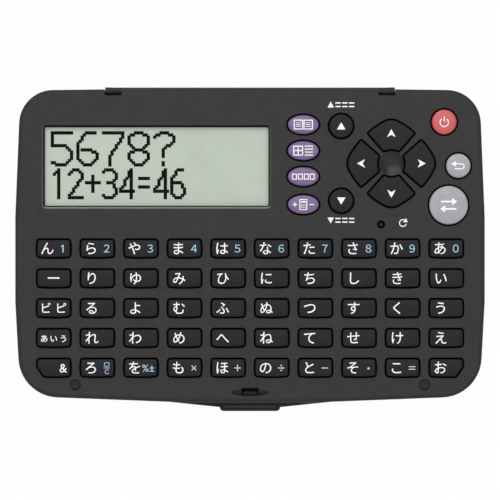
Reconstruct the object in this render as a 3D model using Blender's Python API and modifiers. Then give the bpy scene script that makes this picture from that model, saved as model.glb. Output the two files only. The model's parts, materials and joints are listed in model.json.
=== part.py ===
"""A card-size electronic dictionary with its cover folded flat behind the case.

The case is two thin shells around a display, a keypad and a coin cell. The
cover hangs on a link with two parallel axes, so that it can close over the
keys or lie under the case, as it does here. X runs along the length, Y to the
hinge and Z up. The origin is on the table, under the middle of the object.
"""
import math

import bmesh
import bpy
from mathutils import Matrix, Vector

MM = 0.001

# Case outline seen from above
CASE_WIDTH = 110.0 * MM
CASE_FRONT_Y = -35.85 * MM
CASE_REAR_Y = 37.75 * MM
CASE_WAIST_Y = -2.3 * MM
SIDE_FLAT = 20.0 * MM
END_FLAT = 30.0 * MM
SIDE_DRAW_IN = 1.2 * MM
FRONT_BOW = 1.5 * MM
REAR_BOW = 0.45 * MM
FRONT_CORNER_RADIUS = 9.5 * MM
REAR_CORNER_RADIUS = 8.0 * MM
EDGE_ROUND = 1.0 * MM

# Walls and heights
GAP = 0.3 * MM
SHELL_WALL = 1.2 * MM
CASE_HEIGHT = 7.8 * MM
LID_STAND = 1.7 * MM
LID_RIM_DEPTH = 1.0 * MM
LID_PLATE = 1.0 * MM
EMBED = 0.5 * MM
OVERRUN = 2.0 * MM

# Cover
LID_SHRINK = 0.3 * MM
LID_EDGE_ROUND = 0.4 * MM
LIP_HALF = 21.0 * MM
LIP_REACH = 1.3 * MM
TAB_HALF = 7.1 * MM
TAB_REACH = 2.225 * MM
TAB_CORNER = 0.9 * MM
APRON_GAP = 0.45 * MM
APRON_STEP = 0.05 * MM

# Hinge
LINK_HALF = 34.0 * MM
ARM_WIDTH = 1.6 * MM
ARM_THICKNESS = 1.8 * MM
ARM_PROUD = 0.325 * MM
BARREL_STEP = 0.04 * MM
HEEL_WIDTH = 1.9 * MM
HINGE_GAP = 0.2 * MM
HINGE_SIDE_GAP = 0.12 * MM
PIN_RADIUS = 0.3 * MM
PIN_CLEARANCE = 0.05 * MM
PIN_IN_CASE = 2.3 * MM
HINGE_BLOCK = 3.3 * MM

# Latch
SLOT_HALF = 1.88 * MM
SLOT_REAR_Y = -32.4 * MM
SLOT_FRONT_Y = -34.55 * MM
LEDGE_REAR_Y = -33.3 * MM
LEDGE_THICKNESS = 0.4 * MM
LEDGE_DEPTH = 0.35 * MM
SCOOP_HALF = 4.35 * MM
SCOOP_HALF_DEPTH = 0.8 * MM
SCOOP_SINK = 0.3 * MM
HOOK_HALF = 1.4 * MM
HOOK_STEM = 0.45 * MM
HOOK_NOSE = 0.4 * MM
HOOK_NOSE_HEIGHT = 0.5 * MM
HOOK_CLEARANCE = 0.2 * MM

# Display, behind the keys: a rear inset runs from the rear edge to a middle
SCREEN_SIDE_MARGIN = 6.4 * MM
SCREEN_KEY_SPACE = 4.03 * MM
SCREEN_REAR_INSET = 18.15 * MM
SCREEN_DEPTH = 19.6 * MM
SCREEN_CORNER = 0.9 * MM
SCREEN_LIP = 0.6 * MM
WINDOW_BORDER = 1.5 * MM
WINDOW_THICKNESS = 0.8 * MM
PANEL_THICKNESS = 1.0 * MM
CABLE_THICKNESS = 0.2 * MM
CABLE_WIDTH = 12.0 * MM
CABLE_REACH = 2.5 * MM

# Keys: ten columns by five rows, and the keys of the control side
COLUMNS = 10
KEY_SIDE_MARGIN = 3.95 * MM
KEY_SPACE_X = 2.47 * MM
KEY_PITCH_Y = 6.98 * MM
FIRST_ROW_Y = 0.19 * MM
KEY_DEPTH = 4.1 * MM
KEY_CORNER = 0.6 * MM
CORNER_CUT_X = 1.5 * MM
CORNER_CUT_Y = 2.4 * MM
KEY_CLEARANCE = 0.28 * MM
KEY_FLANGE_LAP = 0.55 * MM
NARROW_FLANGE_LAP = 0.3 * MM
KEY_FLANGE = 0.5 * MM
KEY_PROUD = 0.8 * MM
KEY_TRAVEL = 0.6 * MM
KEY_EDGE = 0.25 * MM
WEB_WIDTH = 3.0 * MM
WEB_THICKNESS = 0.3 * MM

# An inset without another word runs from the right side of the case
MODE_KEYS = 4
MODE_KEY_INSET = 42.52 * MM
MODE_KEY_REAR_INSET = 8.51 * MM
MODE_KEY_PITCH = 6.09 * MM
LAST_MODE_KEY_BREAK = 0.45 * MM
MODE_KEY_HALF_WIDTH = 3.65 * MM
MODE_KEY_HALF_DEPTH = 2.25 * MM
SCROLL_KEY_INSET = 33.65 * MM
SCROLL_KEY_SPREAD = 8.75 * MM
SCROLL_KEY_RADIUS = 2.78 * MM
CONTROL_REAR_INSET = 17.61 * MM
PAD_INSET = 21.92 * MM
PAD_APEX = 10.45 * MM
PAD_TIP_RADIUS = 3.6 * MM
PAD_SIDE_RADIUS = 18.0 * MM
PAD_INNER_X = 1.78 * MM
PAD_INNER_Y = 2.46 * MM
PAD_HUB_GAP = 3.0 * MM
POWER_KEY_INSET = 9.54 * MM
POWER_KEY_REAR_INSET = 7.9 * MM
POWER_KEY_RADIUS = 2.93 * MM
BACK_KEY_INSET = 6.23 * MM
BACK_KEY_REAR_INSET = 18.15 * MM
BACK_KEY_RADIUS = 2.88 * MM
ENTER_KEY_INSET = 8.5 * MM
ENTER_KEY_REAR_INSET = 27.38 * MM
ENTER_KEY_RADIUS = 4.55 * MM
RESET_INSET = 24.3 * MM
RESET_REAR_INSET = 31.9 * MM
RESET_RADIUS = 0.6 * MM
RESET_SINK = 1.0 * MM

# Stop pads in the front corners
STOP_INSET = 14.1 * MM
STOP_Y = -31.7 * MM
STOP_RADIUS = 1.0 * MM
STOP_CLEARANCE = 0.2 * MM
STOP_SINK = 0.5 * MM
STOP_THICKNESS = 0.5 * MM

# Screws
SCREW_RADIUS = 0.7 * MM
SCREW_HEAD_RADIUS = 1.4 * MM
SCREW_HEAD = 0.6 * MM
SCREW_HEAD_SINK = 0.2 * MM
SCREW_TIP_GAP = 0.5 * MM
POST_RADIUS = 2.0 * MM
REAR_SCREW_INSET = 16.0 * MM
REAR_SCREW_REAR_INSET = 4.15 * MM

# Circuit board, its parts and the key mat
BOARD_THICKNESS = 0.8 * MM
BOARD_MARGIN = 0.6 * MM
BOARD_UNDER_PANEL = 0.8 * MM
MAT_THICKNESS = 0.3 * MM
MAT_PAD_HALF_X = 1.3 * MM
MAT_PAD_HALF_Y = 0.9 * MM
MAT_PAD_GAP = 0.2 * MM
MAT_PAD_HEIGHT = 0.55 * MM
MAT_FRONT_Y = -29.4 * MM
PROCESSOR_SIZE = 12.0 * MM
PROCESSOR_X = -12.0 * MM
MEMORY_WIDTH = 13.0 * MM
MEMORY_DEPTH = 8.0 * MM
MEMORY_X = 12.0 * MM
CHIP_ROW_Y = -12.0 * MM
CHIP_THICKNESS = 1.4 * MM

# Coin cell, its contacts and its door
CELL_REAR_INSET = 18.25 * MM
CELL_RADIUS = 10.0 * MM
CELL_THICKNESS = 2.5 * MM
CELL_EDGE = 0.3 * MM
DOOR_MARGIN = 1.3 * MM
DOOR_THICKNESS = 1.0 * MM
DOOR_SLOT_LENGTH = 12.0 * MM
DOOR_SLOT_WIDTH = 1.8 * MM
DOOR_SLOT_DEPTH = 0.5 * MM
LUG_WIDTH = 4.0 * MM
LUG_THICKNESS = 0.5 * MM
LUG_REACH = 1.3 * MM
LUG_ROOT = 0.7 * MM
RING_WALL = 1.0 * MM
RING_CLEARANCE = 0.4 * MM
RING_HEIGHT = 1.8 * MM
CONTACT_THICKNESS = 0.2 * MM
CONTACT_WIDTH = 3.0 * MM
CONTACT_OVERLAP = 9.0 * MM
SIDE_CONTACT_LENGTH = 2.1 * MM
SIDE_CONTACT_HEIGHT = 1.1 * MM

# Names of the keys in the block
DIGIT_KEYS = [f"digit_key_{digit}" for digit in (1, 2, 3, 4, 5, 6, 7, 8, 9, 0)]
OPERATOR_KEYS = ["symbol_key", "clear_key", "percent_key", "times_key", "plus_key",
                 "divide_key", "minus_key", "point_key", "equals_key", "vowel_key"]
KANA_ROWS = ["kana_row_rear", "kana_row_middle", "kana_row_front"]

# Turns and facets
DOOR_TURN = math.radians(60.0)
CASE_ARC_STEP = math.radians(18.0)
KEY_ARC_STEP = math.radians(90.0)
EDGE_ANGLE = math.radians(60.0)
ARC_TOLERANCE = 0.01
ROUND_SIDES = 16
FINE_SIDES = 32
SMALL_SIDES = 10
ARM_SIDES = 8
PAD_ARC_STEPS = 8
PAD_TIP_TURN = math.radians(27.0)
PAD_EDGE_TURN = math.radians(43.5)

# Heights worked out from the table up
LID_RIM_Z = LID_STAND
LID_INNER_Z = LID_RIM_Z + LID_RIM_DEPTH
LID_OUTER_Z = LID_INNER_Z + LID_PLATE
CASE_BOTTOM_Z = LID_OUTER_Z + GAP
CASE_FLOOR_Z = CASE_BOTTOM_Z + SHELL_WALL
CASE_TOP_Z = CASE_BOTTOM_Z + CASE_HEIGHT
CASE_CEILING_Z = CASE_TOP_Z - SHELL_WALL
LINK_LENGTH = (CASE_TOP_Z + GAP - LID_RIM_Z) / 2
LID_AXIS_Z = LID_INNER_Z
CASE_AXIS_Z = LID_AXIS_Z + LINK_LENGTH

KEY_FLANGE_Z = CASE_CEILING_Z - GAP - KEY_FLANGE
MAT_PAD_TOP_Z = KEY_FLANGE_Z - KEY_TRAVEL - MAT_PAD_GAP
MAT_Z = MAT_PAD_TOP_Z - MAT_PAD_HEIGHT
MAT_TOP_Z = MAT_Z + MAT_THICKNESS
BOARD_TOP_Z = MAT_Z - GAP
BOARD_Z = BOARD_TOP_Z - BOARD_THICKNESS
POST_TOP_Z = BOARD_Z - GAP
BOSS_BOTTOM_Z = BOARD_TOP_Z + GAP
LEDGE_TOP_Z = CASE_TOP_Z - LEDGE_DEPTH
WINDOW_TOP_Z = CASE_TOP_Z - SCREEN_LIP - GAP
WINDOW_Z = WINDOW_TOP_Z - WINDOW_THICKNESS
PANEL_Z = WINDOW_Z - GAP - PANEL_THICKNESS
DOOR_TOP_Z = CASE_BOTTOM_Z + DOOR_THICKNESS
CELL_Z = DOOR_TOP_Z + GAP
CELL_TOP_Z = CELL_Z + CELL_THICKNESS
LUG_Z = CASE_FLOOR_Z + GAP

# Places worked out in plan
RIGHT_X = CASE_WIDTH / 2
HINGE_Y = CASE_REAR_Y + ARM_PROUD - ARM_THICKNESS / 2
NOTCH_Y = HINGE_Y - ARM_THICKNESS / 2 - HINGE_GAP
ARM_X = LINK_HALF - ARM_WIDTH / 2
LID_BAR_HALF = LINK_HALF - ARM_WIDTH - HINGE_SIDE_GAP
HEEL_INNER_X = LID_BAR_HALF - HEEL_WIDTH
NOTCH_INNER_X = HEEL_INNER_X - GAP
NOTCH_OUTER_X = LINK_HALF + HINGE_SIDE_GAP
BARREL_RADIUS = ARM_THICKNESS / 2 - BARREL_STEP
PIN_HOLE_RADIUS = PIN_RADIUS + PIN_CLEARANCE
TAB_Y = CASE_FRONT_Y - TAB_REACH
LIP_Y = CASE_FRONT_Y - LIP_REACH
KEY_PITCH_X = (CASE_WIDTH - 2 * KEY_SIDE_MARGIN) / COLUMNS
KEY_WIDTH = KEY_PITCH_X - KEY_SPACE_X
MODE_KEY_X = RIGHT_X - MODE_KEY_INSET
SCREEN_LEFT_X = SCREEN_SIDE_MARGIN - CASE_WIDTH / 2
SCREEN_RIGHT_X = MODE_KEY_X - MODE_KEY_HALF_WIDTH - SCREEN_KEY_SPACE
SCREEN_WIDTH = SCREEN_RIGHT_X - SCREEN_LEFT_X
SCREEN_X = (SCREEN_LEFT_X + SCREEN_RIGHT_X) / 2
SCREEN_Y = CASE_REAR_Y - SCREEN_REAR_INSET
CONTROL_Y = CASE_REAR_Y - CONTROL_REAR_INSET
CELL_Y = CASE_REAR_Y - CELL_REAR_INSET
REAR_SCREW_Y = CASE_REAR_Y - REAR_SCREW_REAR_INSET
STOP_X = RIGHT_X - STOP_INSET
REAR_SCREW_X = RIGHT_X - REAR_SCREW_INSET
CELL_X = SCREEN_X
DOOR_RADIUS = CELL_RADIUS + DOOR_MARGIN
WINDOW_HALF_X = SCREEN_WIDTH / 2 + WINDOW_BORDER
WINDOW_HALF_Y = SCREEN_DEPTH / 2 + WINDOW_BORDER
WINDOW_RIGHT_X = SCREEN_X + WINDOW_HALF_X
WINDOW_FRONT_Y = SCREEN_Y - WINDOW_HALF_Y
LUG_OUTER = DOOR_RADIUS + LUG_REACH
RING_INNER = LUG_OUTER + RING_CLEARANCE
SCREW_SPOTS = {
    "front_left": (-STOP_X, STOP_Y), "front_right": (STOP_X, STOP_Y),
    "rear_left": (-REAR_SCREW_X, REAR_SCREW_Y), "rear_right": (REAR_SCREW_X, REAR_SCREW_Y),
}


# Collections, materials and meshes

def clear_scene():
    """Remove every object that the open file holds."""
    for old in list(bpy.data.objects):
        bpy.data.objects.remove(old)


def new_collection(name):
    """Make a collection in the scene."""
    collection = bpy.data.collections.new(name)
    bpy.context.scene.collection.children.link(collection)
    return collection


def linear(value):
    """Turn an 8-bit display level into a linear colour value."""
    level = value / 255.0
    return level / 12.92 if level <= 0.04045 else ((level + 0.055) / 1.055) ** 2.4


def new_material(name, colour, roughness, metallic=0.0):
    """Make a plain material from a display colour."""
    material = bpy.data.materials.new(name)
    material.use_nodes = True
    shader = material.node_tree.nodes["Principled BSDF"]
    shader.inputs["Base Color"].default_value = (*[linear(value) for value in colour], 1.0)
    shader.inputs["Roughness"].default_value = roughness
    shader.inputs["Metallic"].default_value = metallic
    return material


def new_object(name, bm, collection, origin=(0.0, 0.0, 0.0), material=None):
    """Store a mesh as an object whose own origin is the point given."""
    bmesh.ops.recalc_face_normals(bm, faces=bm.faces)
    bmesh.ops.translate(bm, verts=bm.verts, vec=-Vector(origin))
    mesh = bpy.data.meshes.new(name)
    bm.to_mesh(mesh)
    bm.free()
    piece = bpy.data.objects.new(name, mesh)
    piece.location = origin
    collection.objects.link(piece)
    if material:
        mesh.materials.append(material)
    return piece


def new_cutter(name, bm, cutters):
    """Store a mesh that only shapes other pieces."""
    cutter = new_object(name, bm, cutters)
    cutter.display_type = "WIRE"
    cutter.hide_render = True
    return cutter


def combine(piece, tool, operation):
    """Cut a piece with another mesh, or join the mesh to it."""
    modifier = piece.modifiers.new(tool.name, "BOOLEAN")
    modifier.object = tool
    modifier.operation = operation
    modifier.solver = "EXACT"


def round_edges(piece, width, segments):
    """Round the sharp edges of a piece."""
    modifier = piece.modifiers.new("rounded_edges", "BEVEL")
    modifier.width = width
    modifier.segments = segments
    modifier.limit_method = "ANGLE"
    modifier.angle_limit = EDGE_ANGLE


# Outlines: counter-clockwise corners, each with its own radius

def mirrored(right_half):
    """Add the left half to corners that run from front to rear."""
    return right_half + [(-x, y, radius) for x, y, radius in reversed(right_half)]


def grown(corners, growth):
    """Offset an outline outward, or inward when the growth is negative."""
    result = []
    for index, (x, y, radius) in enumerate(corners):
        here = Vector((x, y))
        arriving = (here - Vector(corners[index - 1][:2])).normalized()
        leaving = (Vector(corners[(index + 1) % len(corners)][:2]) - here).normalized()
        outward = Vector((arriving.y + leaving.y, -arriving.x - leaving.x))
        spot = here + outward * growth / (1.0 + arriving.dot(leaving))
        result.append((spot.x, spot.y, max(radius + growth, 0.0) if radius else 0.0))
    return result


def rounded(corners, arc_step):
    """List the points of an outline, with an arc at each corner."""
    points = []
    for index, (x, y, radius) in enumerate(corners):
        here = Vector((x, y))
        arriving = (here - Vector(corners[index - 1][:2])).normalized()
        leaving = (Vector(corners[(index + 1) % len(corners)][:2]) - here).normalized()
        if not radius:
            points.append((x, y))
            continue
        turn = math.atan2(arriving.cross(leaving), arriving.dot(leaving))
        side = math.copysign(radius, turn)
        start = here - arriving * radius * math.tan(abs(turn) / 2)
        centre = start + Vector((-arriving.y, arriving.x)) * side
        steps = max(1, math.ceil(abs(turn) / arc_step - ARC_TOLERANCE))
        for step in range(steps + 1):
            spoke = start - centre
            spoke.rotate(Matrix.Rotation(turn * step / steps, 2))
            points.append(tuple(centre + spoke))
    return points


def ellipse(half_x, half_y, sides):
    """List the points of an ellipse, a circle when its two halves match."""
    turns = [2 * math.pi * index / sides for index in range(sides)]
    return [(half_x * math.cos(turn), half_y * math.sin(turn)) for turn in turns]


def shifted(points, x, y):
    """Move an outline."""
    return [(spot_x + x, spot_y + y) for spot_x, spot_y in points]


def rectangle_corners(half_x, half_y, radius):
    """Corners of a rectangle about the origin."""
    return [(-half_x, -half_y, radius), (half_x, -half_y, radius),
            (half_x, half_y, radius), (-half_x, half_y, radius)]


def case_corners():
    """Corners of the case: barrel sides and a bowed front."""
    corner_x = CASE_WIDTH / 2 - SIDE_DRAW_IN
    return mirrored([
        (END_FLAT / 2, CASE_FRONT_Y, 0.0),
        (corner_x, CASE_FRONT_Y + FRONT_BOW, FRONT_CORNER_RADIUS),
        (CASE_WIDTH / 2, CASE_WAIST_Y - SIDE_FLAT / 2, 0.0),
        (CASE_WIDTH / 2, CASE_WAIST_Y + SIDE_FLAT / 2, 0.0),
        (corner_x, CASE_REAR_Y - REAR_BOW, REAR_CORNER_RADIUS),
        (END_FLAT / 2, CASE_REAR_Y, 0.0),
    ])


def lid_corners():
    """Corners of the cover: the case's outline with a lip and a tab in front."""
    right_half = grown(case_corners(), -LID_SHRINK)[1:6]
    front = [(TAB_HALF, TAB_Y, TAB_CORNER), (TAB_HALF, LIP_Y, 0.0),
             (LIP_HALF, CASE_FRONT_Y + LID_SHRINK / 2, 0.0)]
    return mirrored(front + right_half)


# Solids added to a mesh

def raise_solid(bm, outline, low, steps):
    """Raise a closed solid from a flat outline; a step is an inset and a rise."""
    base = bm.faces.new([bm.verts.new((x, y, low)) for x, y in outline])
    face = base
    for inset, rise in steps:
        if inset:
            bmesh.ops.inset_region(bm, faces=[face], thickness=inset, depth=rise,
                                   use_even_offset=True)
            continue
        raised = bmesh.ops.extrude_face_region(bm, geom=[face])["geom"]
        if face is not base and face.is_valid:
            bmesh.ops.delete(bm, geom=[face], context="FACES_ONLY")
        corners = [part for part in raised if isinstance(part, bmesh.types.BMVert)]
        face = next(part for part in raised if isinstance(part, bmesh.types.BMFace))
        bmesh.ops.translate(bm, verts=corners, vec=(0.0, 0.0, rise))
        face.normal_update()


def add_slab(bm, outline, low, high):
    """Add an outline of even thickness."""
    raise_solid(bm, outline, low, [(0.0, high - low)])


def add_box(bm, low, high):
    """Add a box between two opposite corners."""
    low, high = Vector(low), Vector(high)
    matrix = Matrix.LocRotScale((low + high) / 2, None, high - low)
    bmesh.ops.create_cube(bm, size=1.0, matrix=matrix)


def add_cylinder(bm, x, y, radius, low, high, sides):
    """Add an upright cylinder."""
    matrix = Matrix.Translation((x, y, (low + high) / 2))
    bmesh.ops.create_cone(bm, cap_ends=True, segments=sides, radius1=radius,
                          radius2=radius, depth=high - low, matrix=matrix)


def add_rod(bm, y, z, radius, half_length, sides):
    """Add a cylinder that lies along X, as long to the left as to the right."""
    matrix = Matrix.Translation((0.0, y, z)) @ Matrix.Rotation(math.pi / 2, 4, "Y")
    bmesh.ops.create_cone(bm, cap_ends=True, segments=sides, radius1=radius,
                          radius2=radius, depth=2 * half_length, matrix=matrix)


def add_profile(bm, outline, half_length):
    """Add an outline in Y and Z, extended to both sides along X."""
    known = set(bm.verts)
    raise_solid(bm, outline, -half_length, [(0.0, 2 * half_length)])
    turn = Matrix(((0.0, 0.0, 1.0), (1.0, 0.0, 0.0), (0.0, 1.0, 0.0)))
    fresh = [vert for vert in bm.verts if vert not in known]
    bmesh.ops.transform(bm, matrix=turn.to_4x4(), verts=fresh)


# Case shells

def case_blank(name, material, parts):
    """The closed outer form that both shells are cut from."""
    bm = bmesh.new()
    add_slab(bm, rounded(case_corners(), CASE_ARC_STEP), CASE_BOTTOM_Z, CASE_TOP_Z)
    blank = new_object(name, bm, parts, material=material)
    round_edges(blank, EDGE_ROUND, 2)
    return blank


def case_cavity(cutters):
    """The hollow inside the case."""
    bm = bmesh.new()
    inner = grown(case_corners(), -SHELL_WALL)
    add_slab(bm, rounded(inner, CASE_ARC_STEP), CASE_FLOOR_Z, CASE_CEILING_Z)
    return new_cutter("case_cavity", bm, cutters)


def hinge_wall(cutters):
    """The wall behind the hinge, with a block at each end for the pin."""
    bm = bmesh.new()
    half_x = NOTCH_OUTER_X + HINGE_BLOCK
    low = (-half_x, NOTCH_Y - SHELL_WALL, CASE_FLOOR_Z - EMBED)
    high = (half_x, CASE_REAR_Y - EMBED, CASE_CEILING_Z + EMBED)
    add_box(bm, low, high)
    return new_cutter("hinge_wall", bm, cutters)


def hinge_groove(cutters):
    """The groove along the rear of the case that the link's barrel turns in."""
    bm = bmesh.new()
    half_z = BARREL_RADIUS + GAP
    add_box(bm, (-NOTCH_INNER_X - EMBED, NOTCH_Y, CASE_AXIS_Z - half_z),
            (NOTCH_INNER_X + EMBED, CASE_REAR_Y + OVERRUN, CASE_AXIS_Z + half_z))
    return new_cutter("hinge_groove", bm, cutters)


def add_notches(bm, inner_x, low_z, high_z):
    """Add a box at each end of the hinge, out to the outer side of the arm's room."""
    for side in (-1, 1):
        left, right = sorted((side * inner_x, side * NOTCH_OUTER_X))
        add_box(bm, (left, NOTCH_Y, low_z), (right, CASE_REAR_Y + OVERRUN, high_z))


def hinge_notches(cutters):
    """The two notches for the link's arms and the cover's heels."""
    bm = bmesh.new()
    add_notches(bm, NOTCH_INNER_X, CASE_BOTTOM_Z - OVERRUN, CASE_TOP_Z + OVERRUN)
    return new_cutter("hinge_notches", bm, cutters)


def case_pin_holes(cutters):
    """Blind holes for the pin's ends, on the line where the shells meet."""
    bm = bmesh.new()
    half_x = NOTCH_OUTER_X + PIN_IN_CASE + GAP
    add_rod(bm, HINGE_Y, CASE_AXIS_Z, PIN_HOLE_RADIUS, half_x, SMALL_SIDES)
    return new_cutter("case_pin_holes", bm, cutters)


def half_space(name, low_z, high_z, cutters):
    """A block wider than the case, which cuts one shell away."""
    bm = bmesh.new()
    reach = CASE_WIDTH
    add_box(bm, (-reach, -reach, low_z), (reach, reach, high_z))
    return new_cutter(name, bm, cutters)


def screw_columns(name, radius, low, high, cutters):
    """One upright cylinder at each screw."""
    bm = bmesh.new()
    for x, y in SCREW_SPOTS.values():
        add_cylinder(bm, x, y, radius, low, high, SMALL_SIDES)
    return new_cutter(name, bm, cutters)


def battery_ring(cutters):
    """The round wall that stands on the case floor about the coin cell."""
    bm = bmesh.new()
    outer = RING_INNER + RING_WALL
    outline = shifted(ellipse(outer, outer, FINE_SIDES), CELL_X, CELL_Y)
    rise = RING_HEIGHT + EMBED
    steps = [(0.0, rise), (RING_WALL, 0.0), (0.0, EMBED / 2 - rise)]
    raise_solid(bm, outline, CASE_FLOOR_Z - EMBED, steps)
    return new_cutter("battery_ring", bm, cutters)


def battery_mouth(cutters):
    """The opening for the battery door, with a way in for each of its lugs."""
    bm = bmesh.new()
    lug_half = (LUG_WIDTH / 2 + GAP) / DOOR_RADIUS
    outline = []
    for index in range(FINE_SIDES):
        turn = 2 * math.pi * index / FINE_SIDES
        outline.append((turn, DOOR_RADIUS + GAP))
    for lug_turn in (DOOR_TURN, DOOR_TURN + math.pi):
        outline = [spot for spot in outline if abs(spot[0] - lug_turn) > lug_half]
        for side in (-1, 1):
            edge = lug_turn + side * lug_half
            outline.append((edge, DOOR_RADIUS + GAP))
            outline.append((edge - side * GAP / DOOR_RADIUS, LUG_OUTER + GAP))
    outline.sort()
    points = [(reach * math.cos(turn), reach * math.sin(turn)) for turn, reach in outline]
    add_slab(bm, shifted(points, CELL_X, CELL_Y), CASE_BOTTOM_Z - OVERRUN,
             CASE_FLOOR_Z + GAP)
    return new_cutter("battery_mouth", bm, cutters)


def build_bottom_case(material, parts, cutters, shared):
    """The rear shell: floor, screw posts, battery ring and lower half of the walls."""
    shell = case_blank("bottom_case", material, parts)
    screw_top = POST_TOP_Z + OVERRUN
    head_room = SCREW_HEAD_RADIUS + GAP
    head_top = CASE_BOTTOM_Z + SCREW_HEAD_SINK + SCREW_HEAD + GAP
    combine(shell, shared["cavity"], "DIFFERENCE")
    combine(shell, shared["hinge_wall"], "UNION")
    posts = screw_columns("screw_posts", POST_RADIUS, CASE_FLOOR_Z - EMBED, POST_TOP_Z,
                          cutters)
    combine(shell, posts, "UNION")
    combine(shell, battery_ring(cutters), "UNION")
    upper = half_space("above_parting", CASE_AXIS_Z - GAP / 2, CASE_TOP_Z + OVERRUN, cutters)
    combine(shell, upper, "DIFFERENCE")
    combine(shell, shared["groove"], "DIFFERENCE")
    combine(shell, shared["notches"], "DIFFERENCE")
    combine(shell, shared["pin_holes"], "DIFFERENCE")
    combine(shell, battery_mouth(cutters), "DIFFERENCE")
    bores = screw_columns("screw_bores", SCREW_RADIUS + GAP, CASE_BOTTOM_Z - OVERRUN,
                          screw_top, cutters)
    combine(shell, bores, "DIFFERENCE")
    sinks = screw_columns("screw_head_sinks", head_room, CASE_BOTTOM_Z - OVERRUN, head_top,
                          cutters)
    combine(shell, sinks, "DIFFERENCE")
    return shell


def screen_opening(bm):
    """The display's opening."""
    corners = rectangle_corners(SCREEN_WIDTH / 2, SCREEN_DEPTH / 2, SCREEN_CORNER)
    outline = shifted(rounded(corners, KEY_ARC_STEP / 2), SCREEN_X, SCREEN_Y)
    add_slab(bm, outline, CASE_CEILING_Z - OVERRUN, CASE_TOP_Z + OVERRUN)


def top_openings(keys, cutters):
    """Every opening that goes right through the face of the case."""
    bm = bmesh.new()
    screen_opening(bm)
    for outline in key_openings(keys):
        add_slab(bm, outline, CASE_CEILING_Z - OVERRUN, CASE_TOP_Z + OVERRUN)
    add_box(bm, (-SLOT_HALF, LEDGE_REAR_Y, CASE_CEILING_Z - OVERRUN),
            (SLOT_HALF, SLOT_REAR_Y, CASE_TOP_Z + OVERRUN))
    return new_cutter("top_openings", bm, cutters)


def top_recesses(cutters):
    """Hollows in the outer face: the catch ledge and the seats of the stop pads."""
    bm = bmesh.new()
    add_box(bm, (-SLOT_HALF, SLOT_FRONT_Y, LEDGE_TOP_Z),
            (SLOT_HALF, LEDGE_REAR_Y + EMBED, CASE_TOP_Z + OVERRUN))
    for side in (-1, 1):
        add_cylinder(bm, side * STOP_X, STOP_Y, STOP_RADIUS + STOP_CLEARANCE,
                     CASE_TOP_Z - STOP_SINK, CASE_TOP_Z + OVERRUN, ROUND_SIDES)
    return new_cutter("top_recesses", bm, cutters)


def finger_scoop(cutters):
    """The shallow lens on both sides of the latch slot."""
    bm = bmesh.new()
    middle_y = (SLOT_REAR_Y + SLOT_FRONT_Y) / 2
    outline = shifted(ellipse(SCOOP_HALF, SCOOP_HALF_DEPTH, ROUND_SIDES), 0.0, middle_y)
    add_slab(bm, outline, CASE_TOP_Z - SCOOP_SINK, CASE_TOP_Z + OVERRUN)
    return new_cutter("finger_scoop", bm, cutters)


def top_pockets(cutters):
    """Hollows in the inner face: the window's seat and the room for the hook."""
    bm = bmesh.new()
    lip_z = CASE_TOP_Z - SCREEN_LIP
    corners = rectangle_corners(WINDOW_HALF_X + GAP, WINDOW_HALF_Y + GAP, 0.0)
    outline = shifted(rounded(corners, KEY_ARC_STEP), SCREEN_X, SCREEN_Y)
    add_slab(bm, outline, CASE_CEILING_Z - OVERRUN, lip_z)
    add_box(bm, (-SLOT_HALF, SLOT_FRONT_Y, CASE_CEILING_Z - OVERRUN),
            (SLOT_HALF, LEDGE_REAR_Y + EMBED, LEDGE_TOP_Z - LEDGE_THICKNESS))
    return new_cutter("top_pockets", bm, cutters)


def build_top_case(material, parts, cutters, shared, keys):
    """The face shell, with all its openings and the bosses for the screws."""
    shell = case_blank("top_case", material, parts)
    combine(shell, shared["cavity"], "DIFFERENCE")
    combine(shell, shared["hinge_wall"], "UNION")
    bosses = screw_columns("screw_bosses", POST_RADIUS, BOSS_BOTTOM_Z,
                           CASE_CEILING_Z + EMBED, cutters)
    combine(shell, bosses, "UNION")
    lower = half_space("below_parting", CASE_BOTTOM_Z - OVERRUN, CASE_AXIS_Z + GAP / 2, cutters)
    combine(shell, lower, "DIFFERENCE")
    combine(shell, shared["groove"], "DIFFERENCE")
    combine(shell, shared["notches"], "DIFFERENCE")
    combine(shell, shared["pin_holes"], "DIFFERENCE")
    combine(shell, top_openings(keys, cutters), "DIFFERENCE")
    combine(shell, top_recesses(cutters), "DIFFERENCE")
    combine(shell, finger_scoop(cutters), "DIFFERENCE")
    combine(shell, top_pockets(cutters), "DIFFERENCE")
    sockets = screw_columns("screw_sockets", SCREW_RADIUS + GAP, CASE_FLOOR_Z,
                            CASE_CEILING_Z, cutters)
    combine(shell, sockets, "DIFFERENCE")
    return shell


# Cover and hinge

def apron_corners():
    """Corners of the wall that the cover's tab stands on."""
    half_x = TAB_HALF - APRON_STEP
    return mirrored([(half_x, TAB_Y + APRON_STEP, TAB_CORNER),
                     (half_x, CASE_FRONT_Y - APRON_GAP, 0.0)])


def lid_features(cutters):
    """What stands on the cover's inner face: apron, hook and heels."""
    bm = bmesh.new()
    add_slab(bm, rounded(apron_corners(), CASE_ARC_STEP), 0.0, LID_INNER_Z + LID_PLATE / 2)
    add_profile(bm, hook_outline(), HOOK_HALF)
    for side in (-1, 1):
        left, right = sorted((side * HEEL_INNER_X, side * LID_BAR_HALF))
        add_box(bm, (left, HINGE_Y - BARREL_RADIUS, 0.0),
                (right, HINGE_Y + BARREL_RADIUS, LID_AXIS_Z))
    return new_cutter("lid_features", bm, cutters)


def hook_outline():
    """The hook from the side, in Y and Z: a stem and a nose toward the front."""
    rear = SLOT_REAR_Y - HOOK_CLEARANCE
    stem = rear - HOOK_STEM
    nose = stem - HOOK_NOSE
    top = LID_INNER_Z + LID_PLATE / 2
    return [(nose, 0.0), (rear, 0.0), (rear, top), (stem, top),
            (stem, HOOK_NOSE_HEIGHT + HOOK_NOSE), (nose, HOOK_NOSE_HEIGHT)]


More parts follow.
